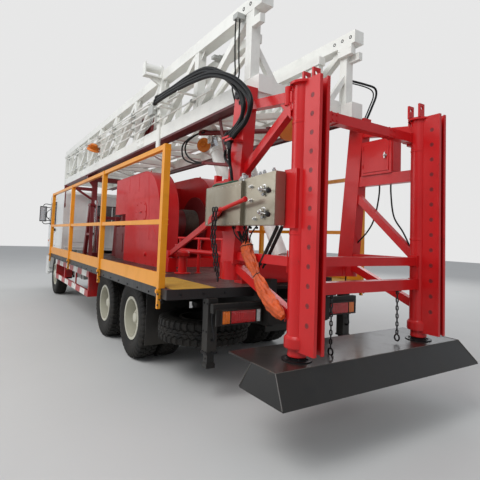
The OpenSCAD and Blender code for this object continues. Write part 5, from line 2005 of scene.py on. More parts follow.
@dataclass
class MastHoses:
    """Hoses that cross the mast's hinge and loop under the mast."""

    thick: float = 0.021

    def arc_hose(self, name: str, points: list[Pair], side: float, radius: float) -> None:
        """Lays one hose over the hinge; it hangs on no body.

        Args:
            name: Name of the piece.
            points: Stations and heights along the hose.
            side: Distance to the left.
            radius: Radius of the hose.
        """
        path = curve([(x, side, z) for x, z in points], 8)
        shape = Shape().pipe(path, radius, 14)
        for i in (0, len(path) - 1):
            way = path[1] - path[0] if i == 0 else path[-1] - path[-2]
            end = path[i] - way.normalized() * (0.0 if i == 0 else 0.05)
            shape.turned(end, way, [(-0.002, radius + 0.002), (0.0, radius + 0.007), (0.05, radius + 0.007),
                (0.052, radius + 0.002)], 12)
        piece = shape.hang(name, HOSE, "", "rod_dark")
        at(path[0].x, path[0].y, path[0].z)
        at(path[-1].x, path[-1].y, path[-1].z)
        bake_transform(piece)

    def build(self) -> None:
        """Builds the hoses with their clamps."""
        outer = [(3.04, 3.63), (2.8, 3.622), (2.45, 3.61), (1.95, 3.605), (1.5, 3.55), (1.12, 3.37),
            (0.82, 3.14), (0.7, 2.96), (0.72, 2.82), (0.84, 2.73), (1.0, 2.68)]
        inner = [(2.92, 3.532), (2.6, 3.53), (2.2, 3.515), (1.695, 3.473), (1.24, 3.4), (0.84, 3.23),
            (0.57, 3.03), (0.48, 2.88), (0.54, 2.75), (0.7, 2.67), (0.82, 2.6)]
        self.arc_hose("mast_hose_1", outer, 0.945, self.thick)
        self.arc_hose("mast_hose_2", [(x, z - 0.036) for x, z in outer], 0.952, self.thick)
        self.arc_hose("mast_hose_3", inner, 1.005, self.thick)
        self.arc_hose("mast_hose_4", [(x + 0.008, z - 0.036) for x, z in inner], 1.012, self.thick)
        shelf = Shape()
        for x, z in ((2.97, 3.552), (2.84, 3.45)):
            shelf.bar((x, 0.75, z), (x, 0.965, z), 0.012, 0.05, AHEAD)
        shelf.box((2.1, 0.75, 3.437), (2.15, 1.02, 3.449))
        shelf.hang("hose_shelves", WHITE, "mast", "mast_white", 0.001)
        bulkhead = Shape().box((0.75, 0.898, 2.58), (0.86, 1.045, 2.6))
        bulkhead.box((0.9, 0.898, 2.64), (1.02, 0.985, 2.66))
        bulkhead.hang("hose_bulkhead", RED, "rig", "rig_red", 0.001)
        fittings = Shape()
        for x, y, z in ((0.82, 1.005, 2.6), (0.8, 1.025, 2.55), (1.0, 0.945, 2.68), (0.98, 0.96, 2.635)):
            fittings.turned((x, y, z - 0.05), (0.1, 0, 1), [(0, 0.02), (0.05, 0.026), (0.062, 0.026),
                (0.064, 0.02)], 6)
        fittings.hang("hose_fittings", DARK_STEEL, "rig", "rod_dark")
        drop = Shape()
        for x, y in ((0.82, 1.005), (0.8, 1.025), (1.0, 0.945), (0.98, 0.96)):
            drop.pipe(curve([(x, y, 2.53), (x + 0.02, y - 0.01, 2.45), (0.84, 0.98, 2.34),
                (0.8 + 0.1 * (y - 0.9), 0.97, 2.17)], 6), 0.014, 10)
        drop.hang("bulkhead_hoses", HOSE, "rig", "rod_dark")
        self.thin()
        self.loops()

    def thin(self) -> None:
        """Two thin cables from the mast side down to the frame."""
        for i, side in enumerate((0.8, 0.83)):
            points = [(1.06, 4.00), (1.042, 3.761), (1.026, 3.517), (1.03, 3.36), (1.1, 3.26), (1.08, 3.167),
                (1.02, 3.06), (0.98, 2.9), (0.96, 2.6)]
            path = curve([(x + 0.03 * i, side + 0.015 * math.sin(j), z) for j, (x, z) in enumerate(points)],
                6)
            shape = Shape().pipe(path, 0.008, 8)
            piece = shape.hang(f"thin_cable_{i + 1}", HOSE, "", "rod_dark")
            at(*path[0])
            at(*path[-1])
            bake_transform(piece)
        clamp = Shape().box((1.03, 0.752, 3.97), (1.12, 0.85, 4.03))
        clamp.hang("thin_cable_clamp", GREY, "mast", "mast_white", 0.002)
        seat = Shape().box((0.94, 0.78, 2.56), (1.02, 0.86, 2.62))
        seat.hang("thin_cable_seat", RED, "rig", "rig_red", 0.002)

    def loops(self) -> None:
        """Two loops beneath the mast, and the dark red tube over them."""
        tube = Shape().rod((2.62, 0.44, 3.112), (1.83, -0.28, 3.112), 0.034, 18, 0.004)
        tube.rod((2.4, 0.46, 2.655), (1.72, 0.46, 2.535), 0.022, 14, 0.004)
        tube.turned((2.42, 0.46, 2.659), (-1, 0, -0.18), [(0, 0.03), (0.06, 0.03)], 8)
        tube.bar((1.76, 0.475, 2.54), (1.76, 0.6, 3.105), 0.012, 0.05, AHEAD)
        for x, y in ((2.56, 0.385), (2.18, 0.04), (1.88, -0.235)):
            tube.box((x - 0.03, y - 0.03, 3.1), (x + 0.03, y + 0.03, 3.165))
        tube.hang("mast_cross_tube", DARK_RED, "mast", "rig_red")
        hoses = Shape()
        for shift, lower in ((0.0, 0.0), (0.11, 0.03)):
            hoses.pipe(curve([(2.5, 0.42, 3.105), (2.7 + shift, 0.44, 3.11), (2.96 + shift, 0.46, 3.05),
                (3.02 + shift, 0.465, 2.95), (2.93 + shift, 0.465, 2.83 - lower), (2.7, 0.46, 2.72 - lower),
                (2.41, 0.46 + lower * 0.4, 2.66)], 8), 0.0125, 9)
        hoses.hang("mast_loops", HOSE, "mast", "rod_dark")


@dataclass
class Crown:
    """Red box, cable and lamp of the crown."""

    box_stations: Pair = (11.56, 11.84)
    box_heights: Pair = (3.72, 3.87)
    widest: float = 0.6

    def build(self) -> None:
        """Builds the crown's pieces."""
        high = node_box("crown_block")[1]
        y = min(high.y, self.widest)
        (x0, x1), (z0, z1) = self.box_stations, self.box_heights
        box = Shape().box((x0, y - 0.004, z0), (x1, y + 0.055, z1))
        for x in (x0 + 0.04, x1 - 0.04):
            box.bolt((x, y + 0.055, 3.79), LEFT, 0.01)
        box.hang("crown_red_box", RED, "mast_top", "rig_red", 0.004)
        cable = Shape().pipe(curve([(11.7, y + 0.03, 3.73), (11.74, y + 0.06, 3.55), (11.66, y + 0.08, 3.4),
            (11.58, y + 0.02, 3.37), (11.545, y - 0.03, 3.42)], 8), 0.01, 9)
        cable.hang("crown_cable", HOSE, "mast_top", "rod_dark")
        lamp = Shape().turned((high.x - 0.1, y - 0.05, high.z - 0.06), UP,
            [(0, 0.035), (0.01, 0.035), (0.012, 0.026), (0.04, 0.024), (0.052, 0.012), (0.055, 0.0)], 20)
        lamp.hang("crown_lamp", LAMP_RED, "mast_top", "window_glass")


@dataclass
class DrumGuard:
    """Seams, plates, ears and louvres of the drum's guard, and the rope on the drum."""

    side: float = 0.5
    far: float = -0.86
    front_arc: Pair = (4.62, 1.99)
    arc_radius: float = 0.8
    plate: Pair = (4.731, 2.06)
    drum: Pair = (4.56, 1.88)
    core: float = 0.26
    drum_sides: Pair = (-0.5, 0.14)
    rope_pitch: float = 0.026
    rope_radius: float = 0.013

    def seams(self) -> None:
        """Welded seams of the guard."""
        shape = Shape()
        y = self.side
        x, z = self.front_arc
        for side in (self.side, 0.16, -0.52, self.far):
            hoop = arc((x, side, z), (-self.arc_radius, 0, 0), (0, 0, self.arc_radius), 0, 90, 20)
            shape.weld([(3.82, side, 1.16), *hoop, (5.6, side, 2.79)], 0.0045, 0.016)
        shape.weld([(4.42, y, 2.78), (4.25, y, 1.56)], 0.005, 0.014)
        shape.weld([(4.096, y, 1.819), (3.83, y, 1.522)], 0.005, 0.014)
        for x in (4.9, 5.45):
            shape.weld([(x, y, 2.45), (x, y, 2.76)], 0.004, 0.018)
        shape.hang("guard_seams", RED, "rig", "rig_red")

    def fittings(self) -> None:
        """Inspection plate, plug, lifting ears and foot strip with its bolts."""
        px, pz = self.plate
        y = self.side
        outline = [(px + 0.29 * math.copysign(abs(a) ** 0.7, a), y,
            pz + 0.19 * math.copysign(abs(b) ** 0.7, b)) for a, b in circle(32)]
        shape = Shape().plate(outline, (0, 0.007, 0))
        for i in range(0, 32, 4):
            rim = Vector(outline[i])
            centre = Vector((px, y, pz))
            shape.bolt(centre.lerp(rim, 0.88) + Vector((0, 0.007, 0)), LEFT, 0.01)
        shape.box((px - 0.05, y + 0.006, pz - 0.01), (px + 0.05, y + 0.028, pz + 0.01))
        shape.turned((4.411, y - 0.001, 1.313), LEFT, [(0, 0.042), (0.006, 0.042), (0.008, 0.034),
            (0.022, 0.034), (0.024, 0.022)], 24)
        for x in (4.0, 4.35, 4.95, 5.35):
            shape.bolt((x, y, 1.155), LEFT, 0.01)
        for x, side in ((5.15, 0.33), (4.75, 0.33), (5.15, -0.69), (4.75, -0.69)):
            ear = arc((x, side, 2.815), (0.03, 0, 0), (0, 0, 0.03), 0, 180, 10)
            shape.plate([(x + 0.03, side, 2.788), *ear, (x - 0.03, side, 2.788)], (0, 0.012, 0))
        shape.box((3.835, 0.2, 1.131), (5.62, 0.498, 1.145))
        shape.hang("guard_fittings", RED, "rig", "rig_red", 0.001)

    def far_side(self) -> None:
        """Louvres, hand-hole cover and edge bolts on the guard's right and front faces."""
        y = self.far
        shape = Shape()
        for i in range(8):
            z = 1.36 + 0.052 * i
            shape.bar((5.0, y - 0.008, z), (5.48, y - 0.008, z), 0.02, 0.046, (0, -0.8, 1))
        for z in (1.31, 1.752):
            shape.box((4.97, y - 0.028, z), (5.51, y + 0.001, z + 0.022))
        for x in (4.97, 5.488):
            shape.box((x, y - 0.028, 1.31), (x + 0.022, y + 0.001, 1.774))
        middle, height = self.drum
        cover = arc((middle, y, height), (0.2, 0, 0), (0, 0, 0.2), 0, 348, 30)
        shape.plate(cover, (0, -0.016, 0))
        for along, up in circle(8):
            shape.bolt((middle + 0.17 * along, y - 0.016, height + 0.17 * up), RIGHT, 0.01)
        for x in (3.98, 4.4, 4.82, 5.24, 5.56):
            shape.bolt((x, y, 1.155), RIGHT, 0.01)
        for x, y0, y1, z0 in ((5.64, -0.84, -0.54, 1.2), (6.35, 0.18, 0.48, 2.1)):
            for y2 in (y0, y1 - 0.02):
                shape.box((x - 0.001, y2, z0), (x + 0.01, y2 + 0.02, 2.74))
            for z in (z0, 2.72):
                shape.box((x - 0.001, y0, z), (x + 0.01, y1, z + 0.02))
            for z in (z0 + 0.06, 2.66):
                for y2 in (y0 + 0.05, y1 - 0.05):
                    shape.bolt((x, y2, z), AHEAD, 0.009)
        shape.hang("guard_louvres", RED, "rig", "rig_red", 0.001)

    def rope(self) -> None:
        """Laps of wire rope on the drum, and the flange bolts and end clamp."""
        x, z = self.drum
        y0, y1 = self.drum_sides
        profile = [(0.0, self.core - 0.002)]
        pitch, rope = self.rope_pitch, self.rope_radius
        laps = int((y1 - y0 - 0.06) / pitch * 0.45)
        for i in range(laps):
            start = 0.03 + i * pitch
            for j in range(7):
                angle = math.pi * j / 6
                profile.append((start + rope * (1 - math.cos(angle)), self.core + rope * math.sin(angle)))
        profile.append((0.03 + laps * pitch, self.core - 0.002))
        Shape().turned((x, y0, z), LEFT, profile, 56).hang("drum_rope", ROPE, "drum", "rod_dark")
        dogs = Shape()
        for along, up in circle(12):
            dogs.bolt((x + 0.4 * along, y0, z + 0.4 * up), RIGHT, 0.012)
        dogs.box((x - 0.03, y1 - 0.012, z + 0.3), (x + 0.03, y1 - 0.001, z + 0.4))
        dogs.hang("drum_bolts", DARK_STEEL, "drum", "rod_dark")

    def build(self) -> None:
        """Builds the guard's pieces."""
        self.seams()
        self.fittings()
        self.far_side()
        self.rope()


@dataclass
class Cab:
    """Grille, lamps, wipers, seals, handles, trim and roof pieces of the cab."""

    front: float = 10.77
    waist: float = 1.75
    roof: float = 2.69
    lean: float = 0.1765
    half: float = 1.2
    bumper_face: float = 10.788

    def _pane(self, y: float, z: float, out: float = 0.0) -> Point:
        """Place on the windscreen's plane."""
        return (self.front - (z - self.waist) * self.lean + out, y, z)

    def face(self) -> None:
        """Grille, wipers and the seals of windscreen and rear window."""
        grille = Shape().box((10.752, -0.8, 1.29), (10.776, 0.8, 1.69))
        for i in range(6):
            z = 1.33 + 0.062 * i
            grille.bar((10.785, -0.76, z), (10.785, 0.76, z + 0.0001), 0.024, 0.022)
        for y in (-0.8, -0.27, 0.27, 0.776):
            grille.box((10.77, y, 1.29), (10.797, y + 0.024, 1.69))
        grille.hang("front_grille", PLASTIC, "rig", "mirror_black", 0.003)
        corners = [self._pane(y, z, 0.008) for y, z in ((-1.09, 1.8), (1.09, 1.8), (1.06, 2.49),
            (-1.06, 2.49))]
        seal = Shape().pipe([*corners, corners[0]], 0.014, 8)
        rear = [(8.44, y, z) for y, z in ((-0.5, 1.9), (0.5, 1.9), (0.5, 2.35), (-0.5, 2.35))]
        seal.pipe([*rear, rear[0]], 0.012, 8)
        seal.hang("window_seals", PLASTIC, "rig", "mirror_black")
        wiper = Shape()
        for y in (-0.75, -0.02, 0.62):
            foot, tip = self._pane(y, 1.755, 0.022), self._pane(y + 0.34, 2.02, 0.03)
            wiper.turned(self._pane(y, 1.755, 0.0), (1, 0, 0.1),
                [(0, 0.022), (0.026, 0.018), (0.032, 0.008)], 14)
            wiper.bar(foot, tip, 0.01, 0.016)
            wiper.bar(self._pane(y + 0.06, 2.005, 0.018), self._pane(y + 0.62, 2.035, 0.018), 0.012, 0.022)
        wiper.hang("wipers", PLASTIC, "rig", "mirror_black", 0.001)

    def bumper(self) -> None:
        """Headlamps, fog lamps, lower grille and towing eyes of the bumper."""
        shell, lens, amber = Shape(), Shape(), Shape()
        x = self.bumper_face
        for side in (1, -1):
            y = 0.86 * side
            shell.box((x - 0.01, y - 0.19, 0.66), (x + 0.006, y + 0.19, 0.84))
            for dy, radius in ((-0.09, 0.07), (0.09, 0.06)):
                lens.turned((x + 0.004, y + dy, 0.75), AHEAD, [
                    (0, radius + 0.006), (0.004, radius), (0.012, radius * 0.8), (0.017, 0.0)], 28)
            amber.box((x - 0.004, side * 1.085 - 0.035, 0.67), (x + 0.012, side * 1.085 + 0.035, 0.83))
            lens.turned((x, side * 0.72, 0.54), AHEAD, [(0, 0.05), (0.008, 0.047), (0.014, 0.0)], 24)
            shell.turned((x - 0.001, side * 0.72, 0.54), AHEAD, [(0, 0.066), (0.004, 0.066), (0.004, 0.052)],
                24)
            amber.box((10.56, side * 1.204 - 0.008, 1.36), (10.64, side * 1.204 + 0.008, 1.41))
        for i in range(4):
            shell.box((x - 0.004, -0.5, 0.52 + 0.075 * i), (x + 0.006, 0.5, 0.55 + 0.075 * i))
        shell.hang("bumper_trim", PLASTIC, "rig", "mirror_black", 0.002)
        lens.hang("headlamp_lenses", LAMP_CLEAR, "rig", "window_glass")
        amber.hang("turn_lamp_lenses", LAMP_AMBER, "rig", "window_glass", 0.002)
        hook = Shape()
        for y in (0.36, -0.36):
            hook.pipe(curve([(x - 0.02, y - 0.03, 0.47), (x + 0.045, y - 0.03, 0.47), (x + 0.065, y, 0.47),
                (x + 0.045, y + 0.03, 0.47), (x - 0.02, y + 0.03, 0.47)], 6), 0.013, 10)
        hook.hang("towing_eyes", DARK_STEEL, "rig", "frame_black")

    def doors(self) -> None:
        """Handles, seals and folds of the doors, which swing with them."""
        for name, side in SIDES:
            y = side * (self.half + 0.014)
            handle = Shape().box((9.48, y - 0.006, 1.655), (9.68, y + 0.003, 1.735))
            handle.pipe(curve([(9.5, y, 1.7), (9.51, y + side * 0.034, 1.7), (9.64, y + side * 0.034, 1.7),
                (9.65, y, 1.7)], 5), 0.009, 8)
            handle.turned((9.58, y, 1.62), (0, side, 0), [(0, 0.014), (0.006, 0.012), (0.007, 0.004)], 14)
            handle.hang(f"door_handle_{name}", PLASTIC, f"door_{name}_body", "mirror_black", 0.002)
            seal = [(9.53, y, 1.83), (10.33, y, 1.83), (10.27, y, 2.45), (9.53, y, 2.45)]
            Shape().pipe([*seal, seal[0]], 0.009, 8).hang(f"door_seal_{name}", PLASTIC, f"door_{name}_body",
                "mirror_black")
            fold = Shape().weld([(9.46, y, 1.45), (10.4, y, 1.45)], 0.006, 0.05)
            fold.weld([(9.46, y, 1.78), (10.4, y, 1.78)], 0.005, 0.05)
            fold.hang(f"door_fold_{name}", CAB_WHITE, f"door_{name}_body", "cab_white")

    def trim(self) -> None:
        """Gutter, hatch, roof lamps, horns, mirror glass and arms, back ribs and arch lips."""
        gutter, lamps, arms = Shape(), Shape(), Shape()
        for side in (1, -1):
            y = side * (self.half - 0.004)
            gutter.pipe([(8.5, y, 2.632), (8.6, y, 2.672), (10.46, y, 2.672), (10.6, y, 2.585)], 0.01, 8)
            for z, way in ((2.42, 1), (1.88, -1)):
                arms.pipe(curve([(10.5, side * 1.19, z), (10.6, side * 1.34, z + 0.02 * way),
                    (10.62, side * 1.4, z - 0.04 * way)], 6), 0.011, 9)
            arms.pipe(curve([(10.5, side * 1.195, 2.3), (10.47, side * 1.3, 2.2), (10.47, side * 1.3, 2.05),
                (10.5, side * 1.195, 1.96)], 6), 0.009, 8)
        gutter.box((9.2, -0.35, self.roof - 0.002), (9.9, 0.35, self.roof + 0.022))
        gutter.hang("roof_trim", CAB_WHITE, "rig", "cab_white", 0.005)
        for y in (-0.85, -0.42, 0.0, 0.42, 0.85):
            lamps.turned((10.53, y, self.roof - 0.012), UP, [
                (0, 0.042), (0.012, 0.042), (0.03, 0.03), (0.036, 0.0)], 20)
        lamps.hang("roof_lamps", LAMP_AMBER, "rig", "window_glass")
        arms.hang("mirror_arms", PLASTIC, "rig", "mirror_black")
        glass = Shape()
        for side in (1, -1):
            glass.box((10.574, side * 1.39 - 0.075, 1.955), (10.579, side * 1.39 + 0.075, 2.345))
        glass.hang("mirror_glass", CHROME, "rig", "rod_chrome")
        horn = Shape()
        for y, size in ((-0.18, 0.9), (-0.3, 1.0)):
            horn.turned((9.95, y, self.roof + 0.055), AHEAD, [
                (0, 0.022), (0.1, 0.022), (0.11, 0.012), (0.34 * size, 0.02), (0.42 * size, 0.04),
                (0.44 * size, 0.058), (0.44 * size, 0.052), (0.36 * size, 0.012)], 20)
            horn.box((10.0, y - 0.012, self.roof - 0.002), (10.03, y + 0.012, self.roof + 0.04))
        horn.hang("roof_horns", BRIGHT, "rig", "rod_chrome")
        rear = Shape().box((8.436, -1.12, 1.25), (8.452, 1.12, 1.29))
        rear.box((8.436, 0.62, 1.4), (8.452, 1.05, 1.72))
        rear.box((8.436, -1.05, 1.4), (8.452, -0.62, 1.72))
        for y in (0.62, 1.04, -0.62, -1.04, 0.0):
            rear.box((8.438, y - 0.012, 1.28), (8.452, y + 0.012, 2.6))
        rear.hang("cab_back_ribs", CAB_WHITE, "rig", "cab_white", 0.004)
        step = Shape()
        for side in (1, -1):
            for i in range(5):
                step.box((9.98 + 0.05 * i, side * 1.195 - 0.02, 1.192),
                    (10.0 + 0.05 * i, side * 1.195 + 0.02, 1.2))
            arch = arc((9.4, side * 1.196, 0.525), (0.67, 0, 0), (0, 0, 0.67), 8, 172, 24)
            step.pipe(arch, 0.013, 8)
        step.hang("arch_lips", PLASTIC, "rig", "mirror_black")

    def build(self) -> None:
        """Builds the cab's pieces."""
        self.face()
        self.bumper()
        self.doors()
        self.trim()


@dataclass
class DeckDress:
    """Grit strips, bolts, grating, seams and railing pins of the deck."""

    rear: float = 1.15
    half: float = 1.45
    top: float = 1.13
    posts: tuple[float, ...] = (1.28, 3.615, 5.95, 8.285)

    def build(self) -> None:
        """Builds the deck's pieces."""
        grit = Shape()
        for side in (1, -1):
            low, high = sorted((side * 0.9, side * 1.385))
            grit.box((self.rear + 0.01, low, self.top - 0.001), (2.25, high, self.top + 0.004))
        grit.hang("deck_grit_strip", GRIT, "rig", "railing_yellow", 0.002)
        bolts = Shape()
        for i in range(20):
            x = self.rear + 0.12 + 0.36 * i
            for side in (1, -1):
                bolts.bolt((x, side * (self.half - 0.045), self.top), UP, 0.009)
                bolts.bolt((x, side * self.half, 1.055), (0, side, 0), 0.009)
        for y in (-1.3, -1.05, -0.8, -0.45, 0.45, 0.8, 1.05, 1.3):
            bolts.bolt((self.rear, y, 1.08), BACK, 0.01)
        bolts.hang("deck_bolts", DARK_STEEL, "rig", "rod_dark")
        grate = Shape()
        for i in range(13):
            y = -0.285 + 0.0475 * i
            grate.box((1.16, y - 0.003, 1.095), (1.695, y + 0.003, 1.126))
        for x in (1.25, 1.42, 1.6):
            grate.rod((x, -0.3, 1.112), (x, 0.3, 1.112), 0.004, 8)
        grate.box((1.155, -0.302, 1.09), (1.165, 0.302, 1.128))
        grate.hang("deck_grating", BLACK, "rig", "frame_black")
        seams = Shape()
        for x in (2.55, 3.7, 5.7, 7.3):
            seams.weld([(x, -self.half + 0.09, self.top), (x, self.half - 0.09, self.top)], 0.0035, 0.03)
        seams.hang("deck_seams", DECK, "rig", "deck_brown")
        self.railings()

    def railings(self) -> None:
        """Bolts, pins and weld beads of both railings."""
        pins, welds = Shape(), Shape()
        for x in self.posts:
            for z in (0.97, 1.075):
                pins.bolt((x, 1.4835, z), LEFT, 0.009)
            pins.rod((x - 0.052, 1.465, 1.02), (x + 0.052, 1.465, 1.02), 0.007, 10)
            pins.pipe(arc((x - 0.052, 1.465, 1.005), (0, 0.014, 0), (0, 0, 0.015), 90, 430, 10), 0.0025, 6)
            for z in (1.28, 1.76, 1.81, 2.505):
                for dx in (-0.034, 0.034):
                    welds.weld([(x + dx, 1.425, z), (x + dx, 1.475, z)], 0.004)
            welds.turned((x + 0.02, 1.4805, 1.6), LEFT, [(0, 0.009), (0.002, 0.008), (0.002, 0.0)], 12)
        pins.join(pins.mirrored())
        welds.join(welds.mirrored())
        pins.hang("railing_pins", DARK_STEEL, "rig", "rod_dark")
        welds.hang("railing_welds", YELLOW, "rig", "railing_yellow")


@dataclass
class Tail:
    """Lamps, bolts, flap clamps and stabiliser fittings at the truck's tail."""

    face: float = 0.98
    low: float = 0.8
    high: float = 0.93
    post: float = 1.16
    out: float = 0.96
    sleeve: float = 0.11
    foot: float = 0.1

    def build(self) -> None:
        """Builds the tail's pieces."""
        x = self.face
        for name, finish, y0, y1 in (("red", LAMP_RED, 0.535, 0.835), ("amber", LAMP_AMBER, 0.842, 0.935),
                ("clear", LAMP_CLEAR, 0.475, 0.528)):
            lens = Shape().box((x - 0.022, y0, self.low), (x + 0.001, y1, self.high - 0.005))
            for i in range(int((y1 - y0) / 0.026)):
                y = y0 + 0.013 + 0.026 * i
                lens.box((x - 0.025, y - 0.009, self.low + 0.01), (x - 0.021, y + 0.009, self.high - 0.016))
            lens.join(lens.mirrored())
            lens.hang(f"tail_lens_{name}", finish, "rig", "window_glass", 0.002)
        frame = Shape()
        for y in (0.468, 0.528, 0.835, 0.935):
            frame.box((x - 0.028, y, self.low - 0.008), (x + 0.001, y + 0.007, self.high + 0.002))
        for z in (self.low - 0.012, self.high - 0.004):
            frame.box((x - 0.028, 0.462, z), (x + 0.001, 0.945, z + 0.008))
        for y in (0.5, 0.9):
            frame.bolt((x + 0.01, y, 0.781), DOWN, 0.008)
        frame.join(frame.mirrored())
        frame.hang("tail_lamp_frames", BLACK, "rig", "frame_black", 0.001)
        self.stabilisers()
        flaps = Shape()
        for side in (1, -1):
            low, high = sorted((side * 0.62, side * 1.18))
            flaps.box((2.325, low, 0.86), (2.353, high, 0.9))
            for y in (0.7, 0.9, 1.1):
                flaps.bolt((2.325, side * y, 0.88), BACK, 0.01)
        flaps.hang("flap_clamps", BLACK, "rig", "frame_black", 0.002)

    def stabilisers(self) -> None:
        """Bolts, collars, pins and hoses of the two stabilisers."""
        for name, side in SIDES:
            y = side * self.out
            sleeve, foot = Shape(), Shape()
            half, leg = self.sleeve / 2, self.foot / 2
            for z in (0.5, 0.7, 0.98):
                for dx in (-0.034, 0.034):
                    sleeve.bolt((self.post + dx, y + side * half, z), (0, side, 0), 0.008)
                sleeve.bolt((self.post - half, y, z), BACK, 0.008)
            for y0, y1 in ((y - half - 0.007, y - half + 0.0005), (y + half - 0.0005, y + half + 0.007)):
                sleeve.box((self.post - half - 0.007, y0, 0.478), (self.post + half + 0.007, y1, 0.5))
            sleeve.box((self.post - half - 0.007, y - half, 0.478),
                (self.post - half + 0.0005, y + half, 0.5))
            sleeve.rod((self.post - half - 0.03, y, 0.62), (self.post - half, y, 0.62), 0.012, 12)
            sleeve.pipe(curve([(self.post - half - 0.026, y, 0.62), (self.post - half - 0.045, y, 0.66),
                (1.075, y + 0.02, 0.78), (1.082, y + 0.02, 0.895)], 6), 0.008, 8)
            sleeve.hang(f"stabiliser_fittings_{name}", DARK_STEEL, "rig", "rod_dark")
            foot.box((self.post - leg + 0.004, y - leg + 0.004, 0.3795),
                (self.post + leg - 0.004, y + leg - 0.004, 0.387))
            foot.rod((self.post, y - 0.048, 0.43), (self.post, y + 0.048, 0.43), 0.009, 12, 0.002)
            foot.hang(f"stabiliser_foot_pin_{name}", GLOSS_BLACK, f"stabiliser_leg_{name}", "beam_black")


@dataclass
class Underside:
    """Air tanks, silencer, brake chambers, lines and fuel tank straps under the deck."""

    axles: Pair = (2.95, 4.3)
    rail: float = 0.437
    chamber_out: float = 0.505

    def build(self) -> None:
        """Builds the underside's pieces."""
        tanks, straps = Shape(), Shape()
        for x0, x1, y, z, radius in ((5.25, 6.15, 0.68, 0.78, 0.125), (6.22, 6.8, 0.68, 0.78, 0.125)):
            tanks.turned((x0, y, z), AHEAD, [(0, 0.0), (0.004, radius * 0.5), (0.03, radius * 0.9),
                (0.06, radius), (x1 - x0 - 0.06, radius), (x1 - x0 - 0.03, radius * 0.9),
                (x1 - x0 - 0.004, radius * 0.5), (x1 - x0, 0.0)], 28)
            for x in (x0 + 0.14, x1 - 0.17):
                straps.turned((x, y, z), AHEAD, [(0, radius), (0, radius + 0.005), (0.03, radius + 0.005),
                    (0.03, radius)], 28)
                straps.box((x, self.rail, z - 0.02), (x + 0.03, y - radius + 0.01, z + 0.02))
            tanks.turned((x0 + 0.3, y, z - radius + 0.004), DOWN, [(0, 0.014), (0.02, 0.014), (0.03, 0.006)],
                8)
        tanks.hang("air_tanks", BLACK, "rig", "frame_black")
        straps.hang("tank_straps", DARK_STEEL, "rig", "rod_dark")
        muffler = Shape().turned((5.3, -0.72, 0.76), AHEAD,
            [(-0.25, 0.045), (0.0, 0.045), (0.01, 0.15), (0.03, 0.16), (0.95, 0.16), (0.97, 0.15),
            (0.98, 0.045), (1.12, 0.045)], 28)
        muffler.pipe(curve([(5.06, -0.72, 0.76), (4.98, -0.74, 0.74), (4.93, -0.86, 0.7),
            (4.92, -1.1, 0.66)], 6), 0.045, 16)
        for x in (5.45, 6.1):
            muffler.box((x, -0.57, 0.8), (x + 0.03, -self.rail, 0.84))
        muffler.hang("silencer", SILENCER, "rig", "rod_dark")
        pots = Shape()
        for axle in self.axles:
            for side in (1, -1):
                y = side * self.chamber_out
                pots.turned((axle + 0.16, y, 0.66), (1, 0, 0.12),
                    [(0, 0.028), (0.03, 0.066), (0.06, 0.074), (0.075, 0.08), (0.085, 0.08), (0.1, 0.074),
                    (0.17, 0.072), (0.2, 0.045), (0.2, 0.0)], 20)
                pots.bar((axle + 0.02, y, 0.6), (axle + 0.17, y, 0.655), 0.02, 0.04)
                pots.box((axle + 0.12, y - 0.05, 0.56), (axle + 0.15, y + 0.02, 0.68))
        pots.hang("brake_chambers", BLACK, "rig", "frame_black")
        lines = Shape()
        for i, y in enumerate((0.445, 0.455, 0.47)):
            lines.pipe([(2.0, y, 0.9 + 0.03 * i), (5.0, y, 0.9 + 0.03 * i), (8.3, y, 0.89 + 0.03 * i)],
                0.007, 8)
        for i in range(9):
            lines.box((2.2 + 0.7 * i, 0.434, 0.885), (2.22 + 0.7 * i, 0.48, 0.975))
        lines.hang("chassis_lines", HOSE, "rig", "rod_dark")
        joints = Shape()
        low, high = node_box("side_tanks")
        for x in (low.x + 0.2, (low.x + high.x) / 2, high.x - 0.22):
            joints.box((x, 0.494, 0.614), (x + 0.03, 0.502, 1.027))
            joints.box((x, 0.494, 0.612), (x + 0.03, 0.964, 0.621))
            joints.box((x, 0.957, 0.614), (x + 0.03, 0.966, 1.022))
        joints.turned((low.x + 0.5, 0.955, 0.93), LEFT, [(0, 0.05), (0.018, 0.05), (0.022, 0.044),
            (0.034, 0.04)], 20)
        joints.hang("fuel_tank_straps", BLACK, "rig", "frame_black", 0.001)


